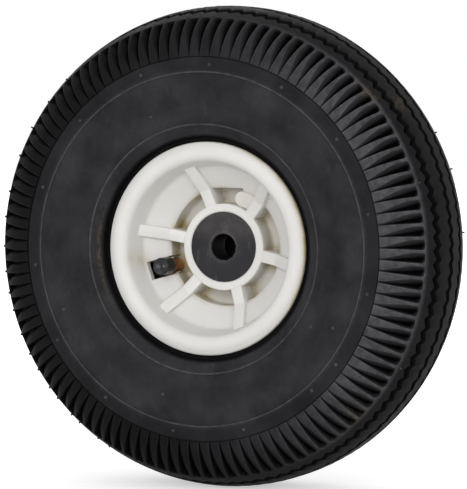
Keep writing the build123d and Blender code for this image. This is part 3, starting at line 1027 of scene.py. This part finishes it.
        # Sidewall marks: painted shade in the bead's recess, darker bands, and painted highlights along the
        # raised lines.
        wall_shade = np.repeat(self.dark_bands(section[:, 0]), flats)
        wall_highlight = np.repeat(self.crest_highlight(section), flats)
        rest = sum(part[0].size // 3 for part in plain[1:])
        marks = {
            "painted_shade": np.clip(np.concatenate([painted_shade, wall_shade, np.zeros(rest)]), 0, 1),
            "rub_and_sheen": np.concatenate([rub_and_sheen, wall_highlight, np.full(rest, 0.5)]),
        }
        parts = [(cover, grid_faces(len(share), cover.shape[1])), *plain]
        obj = new_mesh("tyre_rubber", parts, marks=marks)
        self.dust_and_sheen(obj)
        return take(obj, Body.WHEEL, finish, "tyre")

    def dark_bands(self, radius: np.ndarray) -> np.ndarray:
        """Share of black on the sidewall: painted shade in the bead's recess, and two darker bands.

        Args:
            radius: Distances from the axis.

        Returns:
            One share a distance.
        """
        # Painted shade in the recess beside the rim's lip.
        bead = 0.85 * (1 - ramp(radius, 60.6, 62.6))
        bands = 0.2 * bell(radius, 79.5, 5.0) + 0.35 * ramp(radius, 95.8, 97.5)
        return np.clip(bead + bands, 0, 1)

    def crest_highlight(self, section: np.ndarray) -> np.ndarray:
        """Share of painted highlight, in the rubbed colour, along the crests of the sidewall's raised lines."""
        near = sum(bell(section[:, 0], ring, 0.35) for ring, _, _ in self.rings[1:])
        return 0.8 * np.clip(near, 0, 1) * (np.abs(section[:, 1]) > 34)

    def dust_and_sheen(self, obj: bpy.types.Object) -> None:
        """Mark where dust lies, patches on the tread and the shoulder, and a painted sheen along the bead's
        edge on the left.

        Args:
            obj: The tyre.
        """
        radius, y, angle = places(obj)
        dust_and_sheen = 0.03 + 0 * radius
        outer = ramp(radius, 108, 116)
        for middle, place, wide, deep, most in self.patches:
            dust_and_sheen += most * bell(angle, middle, wide) * bell(y, place, deep) * outer
        # Painted sheen: a lighter band by the bead on the left-hand side.
        bead = bell(radius, 63.0, 0.8) * bell(aside_of(angle, 184), 0.0, 22.0)
        mark(obj.data, "dust_and_sheen", np.clip(dust_and_sheen + 0.4 * bead, 0, 1))


@dataclass
class Rim:
    """One-piece moulded rim with a dished web, ribs, gussets and the valve's window, in millimetres.

    Attributes:
        half_lip: Lip from the dish to the bead seat, as radius, distance from the middle and rounding.
        front: Hub, pocket and web seen from the front.
        back: Rear dish, back of the web and long end of the hub.
        seats: Inside of the hub.
        segments: Flats round the axis.
        longest: Longest side of the turned outline.
        ribs: Number of ribs.
        rib_angle: Angle of the first rib, in degrees.
        rib_width: Width of the ribs and gussets.
        rib: Side outline of a rib.
        gusset: Side outline of a gusset.
        pad: End radius, place, angle and reach of the pad that fills one end of the pocket.
        pad_span: Its start and end along the axis, towards the front.
        pad_edge: Rounding of its edges.
        rib_edge: Rounding of the edges of ribs and gussets.
        flat: Block that squares the pocket's top, as outline and half width.
        valve_angle: Angle of the valve, in degrees.
        openings: Blocks that open the valve's window, as outline, low side and high side.
        leg: Radius, place along the axis, start and reach of the hole for the valve's leg.
        elbow: Middle of the valve's bend, as radius and place along the axis, its radius and its hole's radius.
        elbow_leads: How far that hole goes on straight at its start and its end.
    """

    half_lip: tuple[Corner, ...] = (
        (47.8, 32.0, 8.0), (53.0, 33.7, 9.0), (57.8, 31.4, 1.6), (57.8, 29.4, 0.5), (50.8, 27.6, 1.2),
        (50.8, 16.0, 0.6), (45.8, 12.5, 1.0),
    )
    front: tuple[Corner, ...] = (
        (19.92, -9.0, 0.3), (23.8, -9.0, 0.9), (23.8, 5.0, 1.6), (32.3, 5.0, 1.6), (32.3, -6.0, 0.9),
        (44.5, -17.0, 5.0),
    )
    back: tuple[Corner, ...] = (
        (46.4, 18.5, 3.0), (42.0, 14.1, 2.0), (42.0, -8.69, 2.0), (36.8, -4.0, 1.5), (36.8, 9.5, 1.5),
        (23.8, 9.5, 1.5), (23.8, 48.0, 0.9), (19.92, 48.0, 0.2),
    )
    seats: tuple[Corner, ...] = (
        (19.22, 47.3, 0.0), (19.22, 29.8, 0.0), (16.5, 29.8, 0.0), (16.5, 9.2, 0.0), (19.22, 9.2, 0.0),
        (19.22, -8.3, 0.0),
    )
    segments: int = 192
    longest: float = 2.6
    ribs: int = 6
    rib_angle: float = 48.6
    rib_width: float = 6.5
    rib: tuple[Point, ...] = (
        (21.5, -8.2), (32.3, -10.4), (47.65, -23.8), (47.65, -17.0), (34.55, 7.25), (21.5, 7.25),
    )
    gusset: tuple[Point, ...] = (
        (21.5, 42.0), (23.8, 42.0), (47.8, 25.0), (48.6, 18.5), (43.9, 12.5), (43.9, -13.4), (34.55, -5.0),
        (34.55, 7.25), (21.5, 7.25),
    )
    pad: tuple[float, float, float, float] = (4.2, 28.1, 69.2, 10.56)
    pad_span: Point = (-7.25, 6.0)
    pad_edge: float = 0.4
    rib_edge: float = 0.5
    flat: tuple[tuple[Point, ...], float] = (((23.8, -17.0), (32.3, -17.0), (32.3, 5.0), (23.8, 5.0)), 11.0)
    valve_angle: float = 198.4
    openings: tuple[tuple[tuple[Point, ...], float, float], ...] = (
        (((29.45, -17.0), (43.4, -17.0), (43.4, 5.0), (29.45, 5.0)), -5.05, 5.35),
        (((36.8, -12.5), (50.8, -12.5), (50.8, 7.6), (36.8, 7.6)), -5.05, 5.35),
    )
    leg: tuple[float, float, float, float] = (4.45, 7.6, 40.0, 50.8)
    elbow: tuple[float, float, float, float] = (42.0, 0.1, 7.5, 3.93)
    elbow_leads: Point = (3.0, 2.0)

    def cutters(self) -> list[bpy.types.Mesh]:
        """Blocks that are cut away: the pocket's flat top, the valve's window and its leg's and elbow's holes.

        Returns:
            Their meshes.
        """
        outline, half = self.flat
        cutters = [prism(outline, -half, half, turned(90.0))]
        cutters += [prism(outline, low, high, turned(self.valve_angle)) for outline, low, high in self.openings]
        radius, y, start, reach = self.leg
        hole = [(radius * math.cos(a), y + radius * math.sin(a)) for a in circle(TUBE_SIDES)]
        lie = turned(self.valve_angle) @ Matrix.Rotation(math.pi / 2, 4, "Y")
        return [*cutters, prism(hole, start, reach, lie), self.elbow_hole()]

    def elbow_hole(self) -> bpy.types.Mesh:
        """The bent hole that lets the valve's elbow through the web.

        Returns:
            The mesh that is cut away for it.
        """
        middle, start, bend, hole = self.elbow
        turns = np.linspace(0, math.pi / 2, 13)
        line = [(middle - bend, start - self.elbow_leads[0], hole)]
        line += [(middle - bend * math.cos(a), start + bend * math.sin(a), hole) for a in turns]
        rings = rings_along([*line, (middle + self.elbow_leads[1], start + bend, hole)])
        last = (len(rings) - 1) * TUBE_SIDES
        ends = [list(range(at, at + TUBE_SIDES)) for at in (0, last)]
        mesh = bpy.data.meshes.new("elbow")
        faces = [*grid_faces(len(rings), TUBE_SIDES).tolist(), *ends]
        mesh.from_pydata(rings.reshape(-1, 3).tolist(), [], faces)
        mesh.transform(turned(self.valve_angle))
        face_out(mesh)
        return mesh

    def body(self) -> bpy.types.Mesh:
        """The turned body with its openings cut through.

        Returns:
            Its mesh.
        """
        lip = list(self.half_lip)
        front_lip = [(r, -y, f) for r, y, f in lip]
        corners = [*self.front, *front_lip, *reversed(lip), *self.back, *self.seats]
        outline = filled(rounded(corners), self.longest)
        obj = new_mesh("turned", [lathe(outline, self.segments)])
        blocks = [link("block", mesh) for mesh in self.cutters()]
        for block in blocks:
            cut = obj.modifiers.new("cut", "BOOLEAN")
            cut.operation, cut.solver, cut.object = "DIFFERENCE", "EXACT", block
        bpy.context.view_layer.update()
        mesh = bpy.data.meshes.new_from_object(obj.evaluated_get(bpy.context.evaluated_depsgraph_get()))
        for used in (obj, *blocks):
            bpy.data.objects.remove(used)
        return mesh

    def pad_mesh(self) -> bpy.types.Mesh:
        """The round-ended pad in the pocket.

        Returns:
            Its mesh.
        """
        radius, place, angle, reach = self.pad
        outline = [(radius * math.cos(a), radius * math.sin(a)) for a in circle(32)[:17]]
        outline += [(-radius, -reach), (radius, -reach)]
        lie = turned(angle) @ Matrix.Translation((place * MM, 0, 0)) @ Matrix.Rotation(math.pi / 2, 4, "X")
        return prism(outline, *self.pad_span, lie, self.pad_edge)

    def build(self, finish: bpy.types.Material) -> bpy.types.Object:
        """Make the rim.

        Args:
            finish: White plastic material.

        Returns:
            The rim, which replaces its CAD node.
        """
        form = bmesh.new()
        half = self.rib_width / 2
        meshes = [self.body(), self.pad_mesh()]
        for i in range(self.ribs):
            lie = turned(self.rib_angle + 360.0 / self.ribs * i)
            meshes += [prism(outline, -half, half, lie, self.rib_edge) for outline in (self.rib, self.gusset)]
        for mesh in meshes:
            form.from_mesh(mesh)
        obj = finish_mesh("rim_moulding", settled(form, "rim_moulding"), sharp=36.0)
        self.stain_and_painted_light(obj)
        return take(obj, Body.WHEEL, finish, "rim")

    def stain_and_painted_light(self, obj: bpy.types.Object) -> None:
        """Mark stains and painted shade: stain with painted shade in the pocket and by the ribs' roots, painted
        shade on the right of the lip and dish and in the valve's window, and a darker spot beside the cap.

        Args:
            obj: The rim.
        """
        radius, y, angle = places(obj)
        step = 360 / self.ribs
        aside = (angle - self.rib_angle + step / 2) % step - step / 2
        gap = np.abs(aside) * math.pi / 180 * radius - self.rib_width / 2
        # Stain mixed with painted shade in the pocket's corners and along its wall.
        in_pocket = ramp(radius, 22.5, 24.0) * (1 - ramp(radius, 33.0, 34.5)) * ramp(y, -8.5, -2.0)
        wall = bell(radius, 32.6, 1.1) * ramp(y, -7.5, -5.0) * (1 - ramp(gap, 5.0, 14.0))
        corner = bell(gap, 0.0, 3.6) * in_pocket + 0.6 * wall
        # Painted shade on the right-hand side of the lip and of the dish's bend.
        right = ramp(np.cos(np.radians(angle - 12)), 0.2, 0.95)
        lip = bell(radius, 57.6, 0.9) * right * ramp(-y, 28.5, 30)
        bend = bell(radius, 45.5, 1.2) * ramp(-y, 13, 16) * right
        # A soft darker spot on the dish wall beside the cap.
        dark_spot = bell(aside_of(angle, 189), 0.0, 6.5) * bell(radius, 45.0, 3.0) * ramp(-y, 11, 15)
        # Painted shade inside the valve's window and round the stem.
        beside = np.abs(aside_of(angle, self.valve_angle)) * math.pi / 180 * radius
        valve = (beside < 6.2) * ramp(y, -9.0, -4.0) * ramp(radius, 27.5, 29.0) * (radius < 43.5)
        shares = 0.25 * in_pocket + 0.9 * corner + 0.9 * lip + 0.2 * bend + 0.5 * dark_spot + valve
        mark(obj.data, "stain_and_painted_light", np.clip(shares, 0, 1))


@dataclass
class Bush:
    """Plain bush in one end of the hub, in millimetres.

    Attributes:
        side: End of the hub that it is in.
        face: Place of its outer face along the axis.
        length: Its length.
        outside: Its outer radius.
        bore: Radius of its bore.
        chamfer: Broken edge of its bore.
        segments: Flats round the axis.
        longest: Longest side of its outline.
    """

    side: Side
    face: float
    length: float = 18.0
    outside: float = 19.2
    bore: float = 7.05
    chamfer: float = 0.5
    segments: int = 160
    longest: float = 1.6

    def chips(self, turn: np.ndarray) -> np.ndarray:
        """How far the bore's edge is chipped away.

        Args:
            turn: Angles round the axis, in radians.

        Returns:
            One depth an angle.
        """
        fine = 0.5 + 0.25 * np.sin(9 * turn + 1.0) + 0.25 * np.sin(23 * turn)
        coarse = np.clip(np.sin(14 * turn + 0.7) + 0.5 * np.sin(31 * turn), 0, 1.5)
        return 0.18 * fine + 0.42 * coarse * ramp(np.cos(turn + 0.9), 0.1, 0.8)

    def build(self, finish: bpy.types.Material, node: str) -> bpy.types.Object:
        """Make the bush.

        Args:
            finish: Dark plastic material.
            node: CAD node that it replaces.

        Returns:
            The bush.
        """
        inward = -self.side.value
        back = self.face + inward * self.length
        outline = filled(rounded([
            (self.bore + self.chamfer, self.face, 0.2),
            (self.outside, self.face, 0.4),
            (self.outside, back, 0.3),
            (self.bore, back, 0.2),
            (self.bore, self.face + inward * self.chamfer, 0.2),
        ]), self.longest)
        turn = circle(self.segments)
        deep = np.abs(outline[:, 1] - self.face)
        rough = (1 - ramp(outline[:, 0], 7.6, 9.2)) * (1 - ramp(deep, 0.4, 2.2))
        co = polar(outline[:, :1] + rough[:, None] * self.chips(turn), outline[:, 1:], turn)
        obj = new_mesh(f"{node}_plastic", [(co, grid_faces(len(outline), self.segments, True))], sharp=50.0)
        radius, y, angle = places(obj)
        outer = ramp(-np.abs(y - self.face), -1.0, -0.3)
        height = radius * np.sin(np.radians(angle))
        # Lighter wear round the bore's chipped edge, and a painted sheen growing towards the face's top.
        worn = 0.8 * bell(radius, self.bore + 0.9, 0.8) + 0.75 * ramp(height, 1.0, 13.0)
        mark(obj.data, "stain_and_painted_light", np.clip(worn, 0, 1) * outer)
        # Painted shade deep in the bore.
        mark(obj.data, "painted_shade", ramp(np.abs(y - self.face), 0.2, 0.9) * (radius < self.bore + 1.0))
        return take(obj, Body.WHEEL, finish, node)


@dataclass
class Valve:
    """Bent valve stem with its thread, and the screw cap on it, in millimetres.

    Attributes:
        angle: Angle of the valve round the axis, in degrees.
        place: Distance of the stem from the axis.
        tip: Place of the stem's tip along the axis.
        leg: Place of its leg along the axis.
        radius: Radius over the thread.
        hole: Radius of the hole for the core.
        bend: Radius of the bend.
        reach: Distance of the leg's end from the axis.
        thread: Pitch and depth of the thread.
        foot: Radius and thickness of the foot inside the tube.
        cap_radius: Radius of the cap's mouth.
        cap_end: How far the cap's end stands past the tip.
        cap_length: Length of the cap.
        flutes: Flutes round the cap.
        spring: Radius of the core's spring and of its wire, and the wire's start and end behind the tip.
        turns: Turns of the spring.
        travel: How far the core's pin squeezes the spring; not used.
    """

    angle: float = 198.4
    place: float = 34.5
    tip: float = -18.3
    leg: float = 7.6
    radius: float = 3.85
    hole: float = 2.65
    bend: float = 7.5
    reach: float = 55.2
    thread: Point = (0.9, 0.28)
    foot: Point = (7.0, 1.6)
    cap_radius: float = 4.9
    cap_end: float = 1.6
    cap_length: float = 10.4
    flutes: int = 20
    spring: tuple[float, float, float, float] = (1.2, 0.16, 5.67, 10.73)
    turns: int = 4
    travel: float = 1.2

    def stand(self, obj: bpy.types.Object, along: float) -> None:
        """Move a piece turned about the wheel's axis out to the valve's place and along the axis."""
        obj.data.transform(turned(self.angle) @ Matrix.Translation((self.place * MM, along * MM, 0)))

    def centre_line(self) -> list[Corner]:
        """The stem's centre line.

        Returns:
            Distance from the axis, place along it and radius over the thread.
        """
        pitch, depth = self.thread
        line = []
        bend_from = self.leg - self.bend
        y = self.tip
        while y < bend_from - 1.5:
            for share, drop in ((0.0, depth), (0.3, 0.0), (0.5, 0.0), (0.8, depth)):
                line.append((self.place, y + share * pitch, self.radius - drop))
            y += pitch
        for k in range(17):
            turn = math.pi / 2 * k / 16
            out = self.bend * (1 - math.cos(turn))
            line.append((self.place + out, bend_from + self.bend * math.sin(turn), self.radius - 0.05))
        line.append((self.reach - self.foot[1], self.leg, self.radius - 0.05))
        return line

    def build_stem(self, finish: bpy.types.Material) -> bpy.types.Object:
        """Make the stem.

        Args:
            finish: Brass material.

        Returns:
            The stem, which replaces its CAD node.
        """
        tube = rings_along(self.centre_line())
        turn = circle(TUBE_SIDES)
        bore = np.array([
            (self.radius - 0.5, 0.0), (self.hole + 0.3, 0.0), (self.hole, 0.3), (self.hole, 16.4), (0.5, 16.5),
        ])
        socket = polar(bore[:, :1], bore[:, 1:], -turn[None, :]) + np.array([self.place, self.tip, 0]) * MM
        radius, thick = self.foot
        disc = np.array([(self.radius, 0.0), (radius, 0.0), (radius, thick), (1.4, thick)])
        flange = np.stack([
            np.broadcast_to(self.reach - thick + disc[:, 1:], (len(disc), TUBE_SIDES)),
            self.leg + disc[:, :1] * np.cos(turn),
            disc[:, :1] * np.sin(turn),
        ], -1) * MM
        parts = [(co, grid_faces(len(co), TUBE_SIDES)) for co in (tube, socket, flange)]
        obj = new_mesh("valve_stem_brass", parts, sharp=50.0)
        obj.data.transform(turned(self.angle))
        return take(obj, Body.WHEEL, finish, "valve_stem")

    def build_cap(self, finish: bpy.types.Material) -> bpy.types.Object:
        """Make the cap.

        Args:
            finish: Black plastic material.

        Returns:
            The cap, which replaces its CAD node.
        """
        mouth = self.cap_length
        wide, end = self.cap_radius, self.cap_radius - 0.15
        inside = self.radius + 0.12
        outline = rounded([
            (0.02, 0.5, 0.0), (1.0, 0.36, 0.4), (1.5, 0.0, 0.3), (2.3, 0.0, 0.1), (2.5, 0.12, 0.1),
            (2.7, 0.0, 0.1), (end - 0.9, 0.0, 0.7), (end, 0.9, 0.7), (end + 0.02, 1.9, 0.3),
            (wide - 0.03, 8.3, 0.3), (wide - 0.02, mouth, 0.4), (inside, mouth, 0.2), (inside, 1.5, 0.4),
            (0.02, 1.48, 0.0),
        ])
        count = self.flutes * 6
        turn = circle(count)
        along = outline[:, 1]
        fluted = ramp(along, 1.1, 1.9) * (1 - ramp(along, 8.0, 8.5)) * (outline[:, 0] > inside + 0.3)
        scallop = 0.2 * (0.5 - 0.5 * np.cos(turn * self.flutes)) ** 2
        radius = outline[:, :1] - fluted[:, None] * scallop[None, :]
        co = polar(radius, outline[:, 1:], turn[None, :])
        obj = new_mesh("valve_cap_plastic", [(co, grid_faces(len(outline), count, True))], sharp=50.0)
        self.stand(obj, self.tip - self.cap_end)
        mark(obj.data, "stain_and_painted_light", self.cap_spots(obj))
        return take(obj, Body.CAP, finish, "valve_cap")

    def cap_spots(self, obj: bpy.types.Object) -> np.ndarray:
        """Share of pale colour on the cap: painted reflections in three uneven spots on its end, and a lighter
        band round its mouth.

        Args:
            obj: The cap.

        Returns:
            One share a point.
        """
        radius, y, angle = places(obj)
        turn = np.radians(angle)
        x, z = radius * np.cos(turn), radius * np.sin(turn)
        middle = turned(self.angle) @ Vector((self.place, 0, 0))
        face = self.tip - self.cap_end
        front = 1 - ramp(y, face + 0.6, face + 1.2)
        # Painted reflections on the cap's end.
        spots = sum(
            most * np.exp(-((x - middle.x - dx) ** 2 + (z - middle.z - dz) ** 2) / wide**2)
            for dx, dz, wide, most in ((-1.6, 0.1, 1.2, 0.4), (2.0, 0.2, 0.6, 0.7), (-0.6, -3.1, 1.0, 0.2))
        )
        return np.clip(spots * front + 0.3 * ramp(y, self.tip + 7.6, self.tip + 8.6), 0, 1)

    def build_spring(self, finish: bpy.types.Material) -> bpy.types.Object:
        """Make the core's spring.

        Args:
            finish: Steel material.

        Returns:
            The spring, which replaces its CAD node.
        """
        radius, wire, start, end = self.spring
        turn = np.linspace(0, 2 * math.pi * self.turns, 24 * self.turns + 1)
        out = np.stack([np.cos(turn), 0 * turn, -np.sin(turn)], -1)
        coil = radius * out + np.outer(np.linspace(start, end, len(turn)), (0, 1, 0))
        along = np.gradient(coil, axis=0)
        along /= np.linalg.norm(along, axis=1)[:, None]
        across = np.cross(along, out)
        thick = np.concatenate([[0.02], np.full(len(turn), wire), [0.02]])
        coil, out, across = (np.concatenate([line[:1], line, line[-1:]]) for line in (coil, out, across))
        round_it = circle(8)
        ring = out[:, None] * np.cos(round_it)[:, None] + across[:, None] * np.sin(round_it)[:, None]
        co = (coil[:, None] + thick[:, None, None] * ring) * MM
        obj = new_mesh("valve_spring_wire", [(co, grid_faces(len(co), 8))], sharp=60.0)
        self.stand(obj, self.tip)
        take(obj, Body.WHEEL, finish, "valve_spring")
        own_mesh(obj)
        return obj


@dataclass
class InnerPieces:
    """Pieces inside the tyre and the valve, which keep their CAD shapes.

    Attributes:
        rubber: Nodes of black rubber.
        washers: Nodes of red rubber.
        brass: Nodes of brass.
    """

    rubber: tuple[str, ...] = ("inner_tube",)
    washers: tuple[str, ...] = ("core_washer", "pin_washer")
    brass: tuple[str, ...] = ("valve_core", "valve_pin")

    def dress(self, tube: bpy.types.Material, washer: bpy.types.Material, brass: bpy.types.Material) -> None:
        """Give each node its finish.

        Args:
            tube: Black rubber material.
            washer: Red rubber material.
            brass: Brass material.
        """
        for names, finish in ((self.rubber, tube), (self.washers, washer), (self.brass, brass)):
            for name in names:
                coat(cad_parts[name], finish)
                LOG.info("%s: dressed", name)


@dataclass
class Studio:
    """Pale floor, soft light and the camera.

    Attributes:
        floor: Height of the floor, in metres.
        azimuth: Camera's angle round the wheel, in degrees.
        elevation: Camera's angle above the horizon, in degrees.
        distance: Camera's distance, in metres.
        lens: Focal length, in millimetres.
        aside: Camera's parallel moves to its right and up, in metres.
        lamps: Name, angle round the wheel, angle above the horizon, distance, side and power of each lamp.
    """

    floor: float = -0.13176
    azimuth: float = 23.85
    elevation: float = 2.75
    distance: float = 1.6
    lens: float = 214.4
    aside: Point = (0.0021, 0.00095)
    lamps: tuple[tuple[str, float, float, float, float, float], ...] = (
        ("key", 8.0, 14.0, 1.9, 0.9, 12.0),
        ("side", 50.0, 12.0, 1.8, 0.7, 4.0),
        ("back", 215.0, 40.0, 1.8, 1.2, 6.0),
    )

    def white_to_eye(self, tree: bpy.types.NodeTree) -> bpy.types.NodeSocket:
        """A value that is 1 for what is seen straight on, in gloss or through glass.

        Args:
            tree: Tree that it goes into.

        Returns:
            The value.
        """
        path = add(tree, "ShaderNodeLightPath")
        seen = maths(tree, "MAXIMUM", path.outputs["Is Camera Ray"], path.outputs["Is Glossy Ray"])
        return maths(tree, "MAXIMUM", seen, path.outputs["Is Transmission Ray"])

    def sky(self) -> None:
        """Light from all round, with a white background for the camera."""
        world = bpy.data.worlds.new("studio")
        world.use_nodes = True
        bpy.context.scene.world = world
        tree = world.node_tree
        tree.nodes.clear()
        lit = add(tree, "ShaderNodeBackground", {"Color": (0.97, 0.98, 1.0, 1), "Strength": 0.68})
        seen = add(tree, "ShaderNodeBackground", {"Color": (1, 1, 1, 1), "Strength": 1.0})
        shares = {"0": self.white_to_eye(tree), "1": lit.outputs[0], "2": seen.outputs[0]}
        mixed = add(tree, "ShaderNodeMixShader", shares)
        add(tree, "ShaderNodeOutputWorld", {"Surface": mixed.outputs[0]})

    def ground(self) -> None:
        """The floor, white to the camera but for the wheel's shadow."""
        form = bmesh.new()
        bmesh.ops.create_circle(form, cap_ends=True, segments=96, radius=6.0)
        obj = link("floor", settled(form, "floor"))
        obj.location.z = self.floor
        material = bpy.data.materials.new("floor")
        material.use_nodes = True
        tree = material.node_tree
        shader = tree.nodes["Principled BSDF"]
        white = {"Base Color": (0.8, 0.8, 0.79, 1), "Roughness": 1.0, "Specular IOR Level": 0.0}
        for name, value in {**white, "Emission Color": (1, 1, 1, 1)}.items():
            shader.inputs[name].default_value = value
        place = add(tree, "ShaderNodeTexCoord").outputs["Object"]
        away = add(tree, "ShaderNodeVectorMath", {"0": place}, operation="LENGTH").outputs["Value"]
        glow = maths(tree, "MULTIPLY", self.white_to_eye(tree), spread(tree, away, 0.3, 1.1, 0.5, 1.0))
        tree.links.new(glow, shader.inputs["Emission Strength"])
        coat(obj, material)

    def lamp(self, name: str, azimuth: float, elevation: float, away: float, size: float, watts: float) -> None:
        """A soft square lamp aimed at the wheel.

        Args:
            name: The lamp's name.
            azimuth: Its angle round the wheel, in degrees.
            elevation: Its angle above the horizon, in degrees.
            away: Its distance, in metres.
            size: Its side, in metres.
            watts: Its power.
        """
        data = bpy.data.lights.new(name, "AREA")
        data.shape, data.size, data.energy = "SQUARE", size, watts
        obj = link(name, data)
        back = self.towards(azimuth, elevation)
        obj.location = back * away
        obj.rotation_euler = (-back).to_track_quat("-Z", "Y").to_euler()

    def towards(self, azimuth: float, elevation: float) -> Vector:
        """Direction from the wheel to a place round it, from angles in degrees."""
        a, e = math.radians(azimuth), math.radians(elevation)
        return Vector((math.sin(a) * math.cos(e), -math.cos(a) * math.cos(e), math.sin(e)))

    def camera(self) -> None:
        """The camera at the photograph's angle."""
        data = bpy.data.cameras.new("camera")
        data.lens, data.sensor_width, data.sensor_fit = self.lens, 36.0, "AUTO"
        data.clip_start, data.clip_end = 0.05, 50.0
        obj = link("camera", data)
        back = self.towards(self.azimuth, self.elevation)
        turn = (-back).to_track_quat("-Z", "Y")
        right, up = turn @ Vector((1, 0, 0)), turn @ Vector((0, 1, 0))
        obj.location = back * self.distance + right * self.aside[0] + up * self.aside[1]
        obj.rotation_euler = turn.to_euler()
        bpy.context.scene.camera = obj

    def build(self) -> None:
        """Set up the floor, the light and the camera."""
        bpy.context.scene.view_settings.view_transform = "Standard"
        self.sky()
        self.ground()
        for lamp in self.lamps:
            self.lamp(*lamp)
        self.camera()


def main() -> None:
    """Build the wheel's pieces in order, then the studio."""
    logging.basicConfig(level=logging.INFO, format="%(name)s %(message)s")
    groups = Groups()
    rubber = RubberFinish(
        "tyre rubber", base=(0.019, 0.0183, 0.0208), worn=(0.034, 0.033, 0.0365),
        dust_and_sheen=(0.15, 0.12, 0.07), rubbed=(0.1, 0.098, 0.104), rough=(0.5, 0.66),
    ).make(groups)
    tube = RubberFinish(
        "tube rubber", base=(0.006, 0.006, 0.006), worn=(0.011, 0.011, 0.011),
        dust_and_sheen=(0.05, 0.05, 0.05), rubbed=(0.02, 0.02, 0.02), rough=(0.5, 0.65),
    ).make(groups)
    washer = RubberFinish(
        "washer rubber", base=(0.12, 0.02, 0.015), worn=(0.09, 0.016, 0.013),
        dust_and_sheen=(0.1, 0.06, 0.05), rubbed=(0.15, 0.05, 0.04), rough=(0.5, 0.65),
    ).make(groups)
    white = MouldedFinish(
        "rim plastic", base=(0.74, 0.725, 0.70), mottle=(0.70, 0.685, 0.655),
        stain_and_painted_light=(0.38, 0.31, 0.15), scuff=(0.66, 0.64, 0.60), scuffed=0.35,
        rough=(0.4, 0.54), gloss=0.35,
    ).make(groups)
    dark = MouldedFinish(
        "bush plastic", base=(0.022, 0.021, 0.024), mottle=(0.034, 0.032, 0.036),
        stain_and_painted_light=(0.085, 0.08, 0.078), scuff=(0.095, 0.09, 0.092), scuffed=0.9,
        rough=(0.5, 0.68), gloss=0.1,
    ).make(groups)
    black = MouldedFinish(
        "cap plastic", base=(0.007, 0.007, 0.008), mottle=(0.011, 0.011, 0.012),
        stain_and_painted_light=(0.24, 0.235, 0.23), scuff=(0.05, 0.05, 0.05), scuffed=0.6,
        rough=(0.25, 0.38), gloss=0.3,
    ).make(groups)
    brass = MetalFinish("tarnished brass", (0.72, 0.38, 0.17), (0.38, 0.15, 0.06), (0.32, 0.5)).make(groups)
    steel = MetalFinish("spring steel", (0.6, 0.6, 0.61), (0.4, 0.4, 0.4), (0.25, 0.4)).make(groups)

    Tyre().build(rubber)
    Rim().build(white)
    Bush(Side.FRONT, -8.8).build(dark, "front_bush")
    Bush(Side.REAR, 47.8).build(dark, "rear_bush")
    valve = Valve()
    valve.build_stem(brass)
    valve.build_cap(black)
    valve.build_spring(steel)
    InnerPieces().dress(tube, washer, brass)
    Studio().build()


if __name__ == "__main__":
    main()
